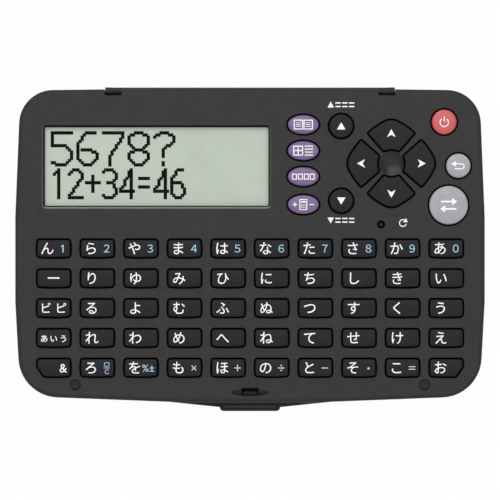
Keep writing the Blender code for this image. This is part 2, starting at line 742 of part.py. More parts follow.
def build_lid(material, parts, cutters):
    """The cover, with its outer face against the case and its rim down."""
    bm = bmesh.new()
    add_slab(bm, rounded(lid_corners(), CASE_ARC_STEP), LID_RIM_Z, LID_OUTER_Z)
    origin = (0.0, HINGE_Y, LID_AXIS_Z)
    lid = new_object("lid", bm, parts, origin, material)
    round_edges(lid, LID_EDGE_ROUND, 1)
    hollow = bmesh.new()
    inner = grown(case_corners(), -LID_SHRINK - SHELL_WALL)
    add_slab(hollow, rounded(inner, CASE_ARC_STEP), LID_RIM_Z - OVERRUN, LID_INNER_Z)
    combine(lid, new_cutter("lid_hollow", hollow, cutters), "DIFFERENCE")
    combine(lid, lid_hinge_walls(cutters), "UNION")
    bar = bmesh.new()
    add_rod(bar, HINGE_Y, LID_AXIS_Z, ARM_THICKNESS / 2, LID_BAR_HALF, ROUND_SIDES)
    combine(lid, new_cutter("lid_bar", bar, cutters), "UNION")
    combine(lid, lid_features(cutters), "UNION")
    notches = bmesh.new()
    add_notches(notches, LID_BAR_HALF, -OVERRUN, LID_OUTER_Z + OVERRUN)
    combine(lid, new_cutter("lid_notches", notches, cutters), "DIFFERENCE")
    holes = bmesh.new()
    add_rod(holes, HINGE_Y, LID_AXIS_Z, PIN_HOLE_RADIUS, LINK_HALF, SMALL_SIDES)
    combine(lid, new_cutter("lid_pin_holes", holes, cutters), "DIFFERENCE")
    return lid


def lid_hinge_walls(cutters):
    """The walls that close the cover's rim behind the two arms."""
    bm = bmesh.new()
    for side in (-1, 1):
        left, right = sorted((side * (LID_BAR_HALF - SHELL_WALL),
                              side * (NOTCH_OUTER_X + SHELL_WALL)))
        add_box(bm, (left, NOTCH_Y - SHELL_WALL, LID_RIM_Z + LID_EDGE_ROUND),
                (right, CASE_REAR_Y - SHELL_WALL, LID_OUTER_Z - LID_EDGE_ROUND))
    return new_cutter("lid_hinge_walls", bm, cutters)


def arm_outline():
    """An arm of the link from the side, in Y and Z: round ends on the two axes."""
    radius = ARM_THICKNESS / 2
    points = []
    for centre_z, start in ((LID_AXIS_Z, math.pi), (CASE_AXIS_Z, 0.0)):
        for index in range(ARM_SIDES + 1):
            turn = start + math.pi * index / ARM_SIDES
            points.append((HINGE_Y + radius * math.cos(turn),
                           centre_z + radius * math.sin(turn)))
    return points


def link_arms(cutters):
    """The two arms of the link."""
    bm = bmesh.new()
    for side in (-1, 1):
        known = set(bm.verts)
        add_profile(bm, arm_outline(), ARM_WIDTH / 2)
        fresh = [vert for vert in bm.verts if vert not in known]
        bmesh.ops.translate(bm, verts=fresh, vec=(side * ARM_X, 0.0, 0.0))
    return new_cutter("link_arms", bm, cutters)


def build_link(material, parts, cutters):
    """The link: a barrel in the rear of the case, with an arm down to the cover at each end."""
    bm = bmesh.new()
    add_rod(bm, HINGE_Y, CASE_AXIS_Z, BARREL_RADIUS, ARM_X, ROUND_SIDES)
    link = new_object("hinge_link", bm, parts, (0.0, HINGE_Y, CASE_AXIS_Z), material)
    combine(link, link_arms(cutters), "UNION")
    holes = bmesh.new()
    for axis_z in (LID_AXIS_Z, CASE_AXIS_Z):
        add_rod(holes, HINGE_Y, axis_z, PIN_HOLE_RADIUS, LINK_HALF + OVERRUN, SMALL_SIDES)
    combine(link, new_cutter("link_pin_holes", holes, cutters), "DIFFERENCE")
    return link


def build_pin(name, axis_z, half_length, material, parts):
    """The steel rod on one axis of the hinge."""
    bm = bmesh.new()
    add_rod(bm, HINGE_Y, axis_z, PIN_RADIUS, half_length, SMALL_SIDES)
    return new_object(name, bm, parts, (0.0, HINGE_Y, axis_z), material)


# Keys

def grid_spot(row, column):
    """Centre of a key of the ten-column block."""
    x = (column - (COLUMNS - 1) / 2) * KEY_PITCH_X
    return x, FIRST_ROW_Y - row * KEY_PITCH_Y


def grid_key_corners(cut_side=0):
    """Corners of a block key; the two front corner keys lose their outer corner."""
    half_x, half_y = KEY_WIDTH / 2, KEY_DEPTH / 2
    corners = rectangle_corners(half_x, half_y, KEY_CORNER)
    if cut_side < 0:
        corners[0:1] = [(-half_x, CORNER_CUT_Y - half_y, KEY_CORNER),
                        (CORNER_CUT_X - half_x, -half_y, KEY_CORNER)]
    if cut_side > 0:
        corners[1:2] = [(half_x - CORNER_CUT_X, -half_y, KEY_CORNER),
                        (half_x, CORNER_CUT_Y - half_y, KEY_CORNER)]
    return corners


def pad_key_corners(quarter):
    """Corners of one of the four cursor keys, turned by quarters about the hub.

    The outer edge is a tight arc at the tip between two wide arcs.
    """
    points = []
    for index in range(PAD_ARC_STEPS + 1):
        turn = PAD_EDGE_TURN * (1 - 2 * index / PAD_ARC_STEPS)
        tip = max(-PAD_TIP_TURN, min(PAD_TIP_TURN, turn))
        x = PAD_TIP_RADIUS * math.sin(tip) + PAD_SIDE_RADIUS * (math.sin(turn) - math.sin(tip))
        drop = PAD_TIP_RADIUS * (1 - math.cos(tip)) + PAD_SIDE_RADIUS * (
            math.cos(tip) - math.cos(turn))
        points.append((x, PAD_APEX - drop))
    points += [(-PAD_INNER_X, PAD_INNER_Y), (0.0, PAD_HUB_GAP), (PAD_INNER_X, PAD_INNER_Y)]
    turn = Matrix.Rotation(quarter * math.pi / 2, 2)
    spots = [turn @ Vector(point) for point in points]
    return grown([(spot.x, spot.y, 0.0) for spot in spots], -KEY_CLEARANCE)


def round_corners(half_x, half_y, sides):
    """An ellipse as corners without radii."""
    return [(x, y, 0.0) for x, y in ellipse(half_x, half_y, sides)]


def key(name, x, y, shapes, colour, lap=KEY_FLANGE_LAP, top=CASE_TOP_Z + KEY_PROUD):
    """One key node; each shape is an offset from its centre and its corners."""
    return {"name": name, "x": x, "y": y, "shapes": shapes, "colour": colour,
            "lap": lap, "top": top}


def control_keys():
    """The keys beside the display."""
    keys = []
    mode = round_corners(MODE_KEY_HALF_WIDTH, MODE_KEY_HALF_DEPTH, ROUND_SIDES)
    for index in range(MODE_KEYS):
        y = CASE_REAR_Y - MODE_KEY_REAR_INSET - index * MODE_KEY_PITCH
        if index == MODE_KEYS - 1:
            y -= LAST_MODE_KEY_BREAK
        keys.append(key(f"mode_key_{index + 1}", MODE_KEY_X, y, [(0.0, mode)], "purple",
                        NARROW_FLANGE_LAP))
    scroll = round_corners(SCROLL_KEY_RADIUS, SCROLL_KEY_RADIUS, ROUND_SIDES)
    for name, side in (("scroll_up_key", 1), ("scroll_down_key", -1)):
        y = CONTROL_Y + side * SCROLL_KEY_SPREAD
        keys.append(key(name, RIGHT_X - SCROLL_KEY_INSET, y, [(0.0, scroll)], "dark"))
    for quarter, way in enumerate(("up", "left", "down", "right")):
        shapes = [(0.0, pad_key_corners(quarter))]
        keys.append(key(f"cursor_{way}_key", RIGHT_X - PAD_INSET, CONTROL_Y, shapes, "dark",
                        NARROW_FLANGE_LAP))
    for name, inset, rear_inset, radius, colour in (
            ("power_key", POWER_KEY_INSET, POWER_KEY_REAR_INSET, POWER_KEY_RADIUS, "red"),
            ("back_key", BACK_KEY_INSET, BACK_KEY_REAR_INSET, BACK_KEY_RADIUS, "pale"),
            ("enter_key", ENTER_KEY_INSET, ENTER_KEY_REAR_INSET, ENTER_KEY_RADIUS, "pale")):
        shapes = [(0.0, round_corners(radius, radius, ROUND_SIDES))]
        keys.append(key(name, RIGHT_X - inset, CASE_REAR_Y - rear_inset, shapes, colour))
    reset = round_corners(RESET_RADIUS, RESET_RADIUS, SMALL_SIDES)
    keys.append(key("reset_button", RIGHT_X - RESET_INSET, CASE_REAR_Y - RESET_REAR_INSET,
                    [(0.0, reset)], "dark", top=CASE_TOP_Z - RESET_SINK))
    return keys


def block_keys():
    """The ten-column block: two rows of single keys and three rows as one node each."""
    keys = []
    for row, names in ((0, DIGIT_KEYS), (4, OPERATOR_KEYS)):
        for column, name in enumerate(names):
            x, y = grid_spot(row, column)
            cut_side = {0: -1, COLUMNS - 1: 1}.get(column, 0) if row else 0
            keys.append(key(name, x, y, [(0.0, grid_key_corners(cut_side))], "dark"))
    for row, name in enumerate(KANA_ROWS, start=1):
        x, y = 0.0, grid_spot(row, 0)[1]
        shapes = [(grid_spot(row, column)[0], grid_key_corners())
                  for column in range(COLUMNS)]
        keys.append(key(name, x, y, shapes, "dark"))
    return keys


def key_openings(keys):
    """Outlines of the openings that the keys stand in."""
    for item in keys:
        for offset, corners in item["shapes"]:
            outline = rounded(grown(corners, KEY_CLEARANCE), KEY_ARC_STEP)
            yield shifted(outline, item["x"] + offset, item["y"])


def row_web(item, cutters):
    """The strip that joins the flanges of a row of keys into one moulding."""
    bm = bmesh.new()
    offsets = [offset for offset, corners in item["shapes"]]
    low_z = KEY_FLANGE_Z + (KEY_FLANGE - WEB_THICKNESS) / 2
    add_box(bm, (min(offsets), item["y"] - WEB_WIDTH / 2, low_z),
            (max(offsets), item["y"] + WEB_WIDTH / 2, low_z + WEB_THICKNESS))
    return new_cutter(f"{item['name']}_web", bm, cutters)


def build_key(item, materials, parts, cutters):
    """Caps that stand in their openings, with flanges that stay behind the face."""
    bm = bmesh.new()
    top = item["top"]
    step_in = KEY_CLEARANCE + item["lap"]
    steps = [(0.0, KEY_FLANGE), (step_in, 0.0),
             (0.0, top - KEY_EDGE - KEY_FLANGE_Z - KEY_FLANGE), (KEY_EDGE, KEY_EDGE)]
    for offset, corners in item["shapes"]:
        outline = rounded(grown(corners, step_in), KEY_ARC_STEP)
        raise_solid(bm, shifted(outline, item["x"] + offset, item["y"]), KEY_FLANGE_Z, steps)
    origin = (item["x"], item["y"], top)
    piece = new_object(item["name"], bm, parts, origin, materials[item["colour"]])
    if len(item["shapes"]) > 1:
        combine(piece, row_web(item, cutters), "UNION")
    return piece


# Display, board and key mat

def build_box(name, low, high, material, parts):
    """A plain block as a piece of its own."""
    bm = bmesh.new()
    add_box(bm, low, high)
    return new_object(name, bm, parts, material=material)


def build_display(materials, parts):
    """The window, the display panel behind it and its flat cable to the board."""
    for name, low_z, high_z, material in (
            ("display_window", WINDOW_Z, WINDOW_TOP_Z, "clear"),
            ("display_panel", PANEL_Z, PANEL_Z + PANEL_THICKNESS, "screen")):
        build_box(name, (SCREEN_X - WINDOW_HALF_X, SCREEN_Y - WINDOW_HALF_Y, low_z),
                  (SCREEN_X + WINDOW_HALF_X, SCREEN_Y + WINDOW_HALF_Y, high_z),
                  materials[material], parts)
    cable_z = (BOARD_TOP_Z + PANEL_Z - CABLE_THICKNESS) / 2
    build_box("display_cable",
              (WINDOW_RIGHT_X - CABLE_REACH, SCREEN_Y - CABLE_WIDTH / 2, cable_z),
              (WINDOW_RIGHT_X + CABLE_REACH, SCREEN_Y + CABLE_WIDTH / 2,
               cable_z + CABLE_THICKNESS), materials["film"], parts)


def board_outline(front_y, margin, step_x):
    """An L in plan: the full width in front, and beside the display at the rear."""
    half_x = CASE_WIDTH / 2 - SIDE_DRAW_IN - SHELL_WALL - margin
    rear_y = NOTCH_Y - SHELL_WALL - margin
    step_y = WINDOW_FRONT_Y - BOARD_UNDER_PANEL
    corner = FRONT_CORNER_RADIUS - SHELL_WALL
    corners = [(-half_x, front_y, corner), (half_x, front_y, corner),
               (half_x, rear_y, REAR_CORNER_RADIUS - SHELL_WALL), (step_x, rear_y, 0.0),
               (step_x, step_y, 0.0), (-half_x, step_y, 0.0)]
    return rounded(corners, KEY_ARC_STEP / 4)


def build_board(materials, parts, cutters):
    """The circuit board, with a hole for each screw."""
    bm = bmesh.new()
    front_y = CASE_FRONT_Y + FRONT_BOW + SHELL_WALL + BOARD_MARGIN
    outline = board_outline(front_y, BOARD_MARGIN, WINDOW_RIGHT_X)
    add_slab(bm, outline, BOARD_Z, BOARD_TOP_Z)
    board = new_object("main_board", bm, parts, material=materials["board"])
    holes = screw_columns("board_holes", SCREW_RADIUS + GAP, BOARD_Z - OVERRUN,
                          BOARD_TOP_Z + OVERRUN, cutters)
    combine(board, holes, "DIFFERENCE")


def build_chips(materials, parts):
    """The parts soldered under the board."""
    top = BOARD_Z - GAP
    low = top - CHIP_THICKNESS
    for name, x, width, depth in (
            ("processor_chip", PROCESSOR_X, PROCESSOR_SIZE, PROCESSOR_SIZE),
            ("memory_chip", MEMORY_X, MEMORY_WIDTH, MEMORY_DEPTH)):
        build_box(name, (x - width / 2, CHIP_ROW_Y - depth / 2, low),
                  (x + width / 2, CHIP_ROW_Y + depth / 2, top), materials["chip"], parts)


def build_key_mat(keys, materials, parts, cutters):
    """The rubber sheet under the keys, with a raised pad below each one."""
    bm = bmesh.new()
    outline = board_outline(MAT_FRONT_Y, BOARD_MARGIN + GAP,
                            WINDOW_RIGHT_X + CABLE_REACH + GAP)
    add_slab(bm, outline, MAT_Z, MAT_TOP_Z)
    mat = new_object("key_mat", bm, parts, material=materials["rubber"])
    pads = bmesh.new()
    for item in keys:
        for offset, corners in item["shapes"]:
            x, y = pad_spot(item["x"] + offset, item["y"], corners)
            add_box(pads, (x - MAT_PAD_HALF_X, y - MAT_PAD_HALF_Y, MAT_Z + MAT_THICKNESS / 2),
                    (x + MAT_PAD_HALF_X, y + MAT_PAD_HALF_Y, MAT_PAD_TOP_Z))
    combine(mat, new_cutter("mat_pads", pads, cutters), "UNION")
    holes = screw_columns("mat_holes", POST_RADIUS + GAP, MAT_Z - OVERRUN,
                          MAT_TOP_Z + OVERRUN, cutters)
    combine(mat, holes, "DIFFERENCE")


def pad_spot(x, y, corners):
    """The middle of a key's outline."""
    spots = [Vector(corner[:2]) for corner in corners]
    middle = sum(spots, Vector((0.0, 0.0))) / len(spots)
    return x + middle.x, y + middle.y


# Coin cell, contacts, door, screws and stops

def build_cell(materials, parts):
    """The coin cell, with a rounded edge above and below."""
    bm = bmesh.new()
    outline = shifted(ellipse(CELL_RADIUS, CELL_RADIUS, FINE_SIDES), CELL_X, CELL_Y)
    raise_solid(bm, outline, CELL_Z, [(0.0, CELL_THICKNESS - CELL_EDGE), (CELL_EDGE, CELL_EDGE)])
    new_object("coin_cell", bm, parts, material=materials["metal"])


def build_contacts(materials, parts):
    """The strip over the cell and the tab at its rim."""
    rear_of_board = WINDOW_FRONT_Y - BOARD_UNDER_PANEL + GAP
    strip_z = CELL_TOP_Z + GAP
    build_box("cell_top_contact", (CELL_X - CONTACT_WIDTH / 2, rear_of_board, strip_z),
              (CELL_X + CONTACT_WIDTH / 2, rear_of_board + CONTACT_OVERLAP,
               strip_z + CONTACT_THICKNESS), materials["brass"], parts)
    edge_x = CELL_X - CELL_RADIUS - GAP
    tab_top = CELL_TOP_Z - GAP
    build_box("cell_side_contact",
              (edge_x - SIDE_CONTACT_LENGTH, CELL_Y - CONTACT_WIDTH / 2,
               tab_top - SIDE_CONTACT_HEIGHT),
              (edge_x, CELL_Y + CONTACT_WIDTH / 2, tab_top), materials["brass"], parts)


def lug_outline(side):
    """A lug of the door from the side, in X and Z: a root and a reach over the floor."""
    inner = CELL_X + side * (DOOR_RADIUS - LUG_ROOT)
    root = CELL_X + side * DOOR_RADIUS
    outer = CELL_X + side * LUG_OUTER
    base = DOOR_TOP_Z - GAP
    top = LUG_Z + LUG_THICKNESS
    return [(inner, base), (root, base), (root, LUG_Z), (outer, LUG_Z), (outer, top),
            (inner, top)]


def door_lugs(cutters):
    """The two lugs that hold the battery door, joined to its disc."""
    bm = bmesh.new()
    for side in (-1, 1):
        known = set(bm.verts)
        raise_solid(bm, lug_outline(side), -LUG_WIDTH / 2, [(0.0, LUG_WIDTH)])
        fresh = [vert for vert in bm.verts if vert not in known]
        matrix = Matrix.Translation((0.0, CELL_Y, 0.0)) @ Matrix.Rotation(math.pi / 2, 4, "X")
        bmesh.ops.transform(bm, matrix=matrix, verts=fresh)
    return new_cutter("door_lugs", bm, cutters)


def build_battery_door(material, parts, cutters):
    """The round door that a coin turns by its slot."""
    bm = bmesh.new()
    outline = shifted(ellipse(DOOR_RADIUS, DOOR_RADIUS, FINE_SIDES), CELL_X, CELL_Y)
    add_slab(bm, outline, CASE_BOTTOM_Z, DOOR_TOP_Z)
    door = new_object("battery_door", bm, parts, (CELL_X, CELL_Y, CASE_BOTTOM_Z), material)
    combine(door, door_lugs(cutters), "UNION")
    slot = bmesh.new()
    add_box(slot, (CELL_X - DOOR_SLOT_LENGTH / 2, CELL_Y - DOOR_SLOT_WIDTH / 2,
                   CASE_BOTTOM_Z - OVERRUN),
            (CELL_X + DOOR_SLOT_LENGTH / 2, CELL_Y + DOOR_SLOT_WIDTH / 2,
             CASE_BOTTOM_Z + DOOR_SLOT_DEPTH))
    combine(door, new_cutter("coin_slot", slot, cutters), "DIFFERENCE")


def build_screws(materials, parts):
    """The screws, put in from below."""
    low = CASE_BOTTOM_Z + SCREW_HEAD_SINK
    tip = CASE_CEILING_Z - SCREW_TIP_GAP
    steps = [(0.0, SCREW_HEAD), (SCREW_HEAD_RADIUS - SCREW_RADIUS, 0.0),
             (0.0, tip - low - SCREW_HEAD)]
    for place, (x, y) in SCREW_SPOTS.items():
        bm = bmesh.new()
        outline = ellipse(SCREW_HEAD_RADIUS, SCREW_HEAD_RADIUS, SMALL_SIDES)
        raise_solid(bm, shifted(outline, x, y), low, steps)
        new_object(f"case_screw_{place}", bm, parts, (x, y, low), materials["metal"])


def build_stop_pads(materials, parts):
    """The two rubber stops that the closed cover rests over."""
    low = CASE_TOP_Z - STOP_SINK + GAP
    for place, x in (("left", -STOP_X), ("right", STOP_X)):
        bm = bmesh.new()
        add_cylinder(bm, x, STOP_Y, STOP_RADIUS, low, low + STOP_THICKNESS, ROUND_SIDES)
        new_object(f"stop_pad_{place}", bm, parts, (x, STOP_Y, low), materials["rubber"])


# The whole object

def make_materials():
    """All materials by short name."""
    return {
        "case": new_material("case_plastic", (62, 62, 64), 0.45),
        "dark": new_material("key_plastic", (42, 41, 44), 0.5),
        "purple": new_material("mode_key_plastic", (110, 94, 134), 0.4),
        "red": new_material("power_key_plastic", (200, 95, 90), 0.4),
        "pale": new_material("grey_key_plastic", (170, 169, 175), 0.4),
        "clear": new_material("window_acrylic", (200, 208, 200), 0.1),
        "screen": new_material("display_glass", (186, 197, 183), 0.3),
        "film": new_material("cable_film", (196, 140, 60), 0.5),
        "board": new_material("board_laminate", (38, 92, 58), 0.5),
        "chip": new_material("chip_resin", (30, 30, 32), 0.6),
        "rubber": new_material("black_rubber", (34, 34, 35), 0.8),
        "metal": new_material("plated_steel", (176, 176, 178), 0.3, 1.0),
        "brass": new_material("contact_brass", (196, 160, 90), 0.35, 1.0),
    }


def make_shared_cutters(cutters):
    """Cutters that both shells use."""
    return {
        "cavity": case_cavity(cutters),
        "hinge_wall": hinge_wall(cutters),
        "groove": hinge_groove(cutters),
        "notches": hinge_notches(cutters),
        "pin_holes": case_pin_holes(cutters),
    }


def keep_parent(child, parent):
    """Parent a piece and leave it where it stands."""
    child.parent = parent
    child.matrix_parent_inverse = Matrix.Translation(-parent.location)


def main():
    """Build every piece."""
    clear_scene()
    parts = new_collection("electronic_dictionary")
    cutters = new_collection("cutters")
    materials = make_materials()
    shared = make_shared_cutters(cutters)
    keys = control_keys() + block_keys()
    build_bottom_case(materials["case"], parts, cutters, shared)
    build_top_case(materials["case"], parts, cutters, shared, keys)
    for item in keys:
        build_key(item, materials, parts, cutters)
    lid = build_lid(materials["case"], parts, cutters)
    link = build_link(materials["case"], parts, cutters)
    keep_parent(lid, link)
    build_pin("case_hinge_pin", CASE_AXIS_Z, NOTCH_OUTER_X + PIN_IN_CASE,
              materials["metal"], parts)
    lid_pin = build_pin("lid_hinge_pin", LID_AXIS_Z, LINK_HALF, materials["metal"], parts)
    keep_parent(lid_pin, link)
    build_display(materials, parts)
    build_board(materials, parts, cutters)
    build_chips(materials, parts)
    build_key_mat(keys, materials, parts, cutters)
    build_cell(materials, parts)
    build_contacts(materials, parts)
    build_battery_door(materials["case"], parts, cutters)
    build_screws(materials, parts)
    build_stop_pads(materials, parts)


main()
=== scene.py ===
"""The card-size electronic dictionary, dressed with fine shapes and materials.

All shapes are written in millimetres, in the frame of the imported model, and
become metres when a mesh is made.
"""

import json
import math

import bmesh
import bpy
from mathutils import Matrix, Vector


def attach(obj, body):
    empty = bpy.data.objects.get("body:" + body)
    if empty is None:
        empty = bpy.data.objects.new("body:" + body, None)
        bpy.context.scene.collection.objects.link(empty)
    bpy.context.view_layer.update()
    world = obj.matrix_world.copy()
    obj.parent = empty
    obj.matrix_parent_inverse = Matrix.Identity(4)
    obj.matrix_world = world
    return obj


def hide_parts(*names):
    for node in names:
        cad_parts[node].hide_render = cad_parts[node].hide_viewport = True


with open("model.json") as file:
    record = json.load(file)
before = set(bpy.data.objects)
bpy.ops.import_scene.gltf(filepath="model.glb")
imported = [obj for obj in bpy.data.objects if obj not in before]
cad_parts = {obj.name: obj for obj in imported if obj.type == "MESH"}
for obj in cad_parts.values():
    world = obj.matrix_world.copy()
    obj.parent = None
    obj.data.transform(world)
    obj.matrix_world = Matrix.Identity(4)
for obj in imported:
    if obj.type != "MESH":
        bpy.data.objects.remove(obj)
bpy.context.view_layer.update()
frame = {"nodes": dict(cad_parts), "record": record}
MM = 0.001

# Heights, from the table up
CASE_BOTTOM_Z = 4.0
CASE_AXIS_Z = 7.9
PARTING_GAP = 0.3
CASE_CEILING_Z = 10.6
CASE_TOP_Z = 11.8
FLANGE_LOW_Z = 9.8
FLANGE_TOP_Z = 10.3
KEY_TOP_Z = 12.6
RESET_TOP_Z = 10.8
PANEL_TOP_Z = 9.8
WINDOW_LIP = 0.6

# Thickness of print, reach of cutters past what they cut, laps of what is joined
INK = 0.02
CUT_REACH = 2.0
LAP = 0.5
FINE_LAP = 0.05
# Growth of an opening at heights against the face, which gives it a soft edge
MOUTH = ((0.0, -0.16), (0.03, -0.06), (0.1, 0.0), (0.3, 0.4))

# Case seen from above: x, y and corner radius of the right half, front to rear
CASE_RIGHT = [(15.0, -35.85, 0.0), (53.8, -34.35, 9.5), (55.0, -12.3, 0.0),
              (55.0, 7.7, 0.0), (53.8, 37.3, 8.0), (15.0, 37.75, 0.0)]
CASE_EDGE = 1.0
SHELL_WALL = 1.2
FINE_TURN = math.radians(7.5)
COARSE_TURN = math.radians(15)
SHARP_TURN = math.radians(35.0)
NODE_SHARP_TURN = math.radians(32)
WELD_REACH = 0.002
EDGE_STEPS = 5
LARGE_FACE = 40.0
COPLANAR = 0.9999

# Hinge
HINGE_Y = 37.175
NOTCH_Y = 36.075
NOTCH_INNER_X = 30.08
NOTCH_OUTER_X = 34.12
GROOVE_HALF_Z = 1.16
HINGE_BLOCK = 3.3
PIN_HOLE_RADIUS = 0.35
PIN_HOLE_HALF = 36.9
PIN_COVER_Y = (37.49, 37.58)
PIN_COVER_DROP = 0.13
PIN_HOLE_SIDES = 24

# Latch slot, stop pads
SLOT_HALF = 1.88
SLOT_REAR_Y = -32.4
LEDGE_REAR_Y = -33.3
SLOT_FRONT_Y = -34.55
LEDGE_TOP_Z = 11.6
LEDGE_THICKNESS = 0.55
LEDGE_BEVEL = 0.3
LEDGE_BEVEL_DROP = 0.1
SCOOP_HALF = 4.35
SCOOP_HALF_DEPTH = 0.8
SCOOP_SINK = 0.95
TOOTH_HALF = 1.58
TOOTH_SLIT_Z = 9.9
TOOTH_SLIT_FRONT_Y = -34.2
STOP_X = 40.9
STOP_Y = -31.7
STOP_SEAT_RADIUS = 1.2
STOP_SINK = 0.5
STOP_SIDES = 40
SLOT_CORNER = 0.12
LEDGE_LAP = 0.3
LEDGE_CUT = 0.4
SCOOP_LIFT = 0.001
SLIT_LAP = 0.12
SLIT_REAR_GAP = 0.02

# Display
SCREEN_X = -21.9
SCREEN_Y = 19.6
SCREEN_HALF_X = 26.7
SCREEN_HALF_Y = 9.8
SCREEN_CORNER = 0.9
SCREEN_SLOPE = 0.45
SCREEN_RIM = 0.2
SCREEN_RIM_DROP = 0.06
SCREEN_RIM_SHIFT = 0.1
# Shift and width of a black border on the display, set off-centre as painted shade inside the rim
SCREEN_SHADE_SHIFT = (0.03, -0.25)
SCREEN_SHADE_LINE = 0.5
SEAT_HALF_X = 28.5
SEAT_HALF_Y = 11.6
SCREEN_SHOULDER = 0.2
SCREEN_SHOULDER_DROP = 0.1
SCREEN_RIM_INSET = 0.08
SCREEN_MOUTH = 0.4
SCREEN_MOUTH_RISE = 0.2

# Keys
PITCH_X = 10.21
PITCH_Y = 6.98
COLUMNS = 10
FIRST_ROW_Y = 0.19
KEY_HALF_X = 3.87
KEY_HALF_Y = 2.05
KEY_CORNER = 0.42
CORNER_CUT_X = 1.5
CORNER_CUT_Y = 2.4
KEY_BARREL = 0.035
KEY_BOW = 0.09
CAP_INSET = 0.02
KEY_CROWN = 0.1
CROWN_SHARE_X = 0.4
CROWN_RINGS = (0.8, 0.6, 0.4, 0.2)
PRINT_STEP = 0.35
KEY_CLEARANCE = 0.32
FLANGE_LAP = 0.55
PAD_FLANGE_LAP = 0.3
KEY_EDGE = 0.26
KEY_EDGE_DROP = 0.26
MODE_X = 12.48
MODE_ROWS = (29.24, 23.15, 17.06, 10.52)
MODE_HALF_X = 3.65
MODE_HALF_Y = 2.25
SCROLL_X = 21.35
SCROLL_ROWS = (28.89, 11.39)
SCROLL_RADIUS = 2.78
PAD_X = 33.08
PAD_Y = 20.14
PAD_APEX = 10.45
PAD_TIP_RADIUS = 3.6
PAD_SIDE_RADIUS = 18.0
PAD_ARC_STEPS = 14
PAD_TIP_TURN = math.radians(27.0)
PAD_EDGE_TURN = math.radians(43.5)
PAD_INNER_X = 1.78
PAD_INNER_Y = 2.46
PAD_HUB_GAP = 3.0
PAD_CORNER = 0.5
PAD_HUB_CORNER = 0.75
PAD_EDGE = 0.26
PAD_CROWN = 0.12
PAD_SHRINK = 0.28
PAD_ARROW = 7.1
HUB_RADIUS = 2.9
HUB_SINK = 0.45
POWER_KEY = (45.46, 29.85, 2.93)
BACK_KEY = (48.77, 19.6, 2.88)
ENTER_KEY = (46.5, 10.37, 4.55)
RESET_KEY = (30.7, 5.85, 0.6)
ROUND_SIDES = 56
WEB_HALF_Y = 0.45
WEB_INSET = 0.05
OUTLINE_STEP = 0.8
PAD_HUB_BOW = 0.1
PAD_TURN = math.radians(18)
HUB_SHARES = (0.1, 0.25, 0.4, 0.55, 0.7, 0.85, 0.95, 1.0, 1.1)
RESET_SIDES = 24
MODE_TOP = {"edge": 0.45, "drop": 0.4, "crown": 0.2}
ROUND_TOP = {"edge": 0.4, "drop": 0.35, "crown": 0.18}
RESET_TOP = {"top": RESET_TOP_Z, "edge": 0.15, "drop": 0.15, "crown": 0.0}
SIDES = ("up", "left", "down", "right")

# Materials of a piece, in the order of its faces' indexes
FACE_LOOKS = ("case", "hub", "rim")
LID_LOOKS = ("case", "tab")
CARRIER = 1
WHITE, BLUE = 0, 1

# Print on the keys
KANA_ROWS = ("んらやまはなたさかあ", " りゆみひにちしきい", " るよむふぬつすくう",
             " れわめへねてせけえ", " ろをもほのとそこお")
KANA_SIZE = 3.25
KANA_X = (-1.5, -1.3, -1.3, -1.3, -1.45)
KANA_RISE = 0.35
DIGIT_SIZE = 2.45
DIGIT_X = 2.2
DIGIT_RISE = 0.355
STROKE_GROWTH = 0.014
BLUE_GROWTH = 0.0
FINE_GROWTH = 0.004
LETTER_STEPS = 3
BISECT_REACH = 1e-5
# Row and column: letters, size, place along X and Y, rise, ink and growth
WORDS = {
    (1, 0): [("ー", 3.4, 0.0, 0.0, KANA_RISE, WHITE, STROKE_GROWTH)],
    (2, 0): [("ビ", 2.75, -1.85, 0.0, KANA_RISE, WHITE, STROKE_GROWTH),
             ("ピ", 2.75, 1.7, 0.0, KANA_RISE, WHITE, STROKE_GROWTH)],
    (3, 0): [("ぁぃぅ", 2.25, 0.0, 0.0, KANA_RISE, WHITE, STROKE_GROWTH)],
    (4, 0): [("&", 2.9, 2.2, 0.0, DIGIT_RISE, WHITE, STROKE_GROWTH)],
    (4, 1): [("CI", 1.5, DIGIT_X, 0.85, DIGIT_RISE, BLUE, FINE_GROWTH),
             ("C", 1.5, DIGIT_X, -0.85, DIGIT_RISE, BLUE, FINE_GROWTH)],
    (4, 2): [("%±", 2.4, 1.75, 0.0, DIGIT_RISE, BLUE, BLUE_GROWTH)],
}
WORDS.update({(0, column + 1): [(figure, DIGIT_SIZE, DIGIT_X, 0.0, DIGIT_RISE, BLUE,
                                 BLUE_GROWTH)]
              for column, figure in enumerate("２３４５６７８９０")})

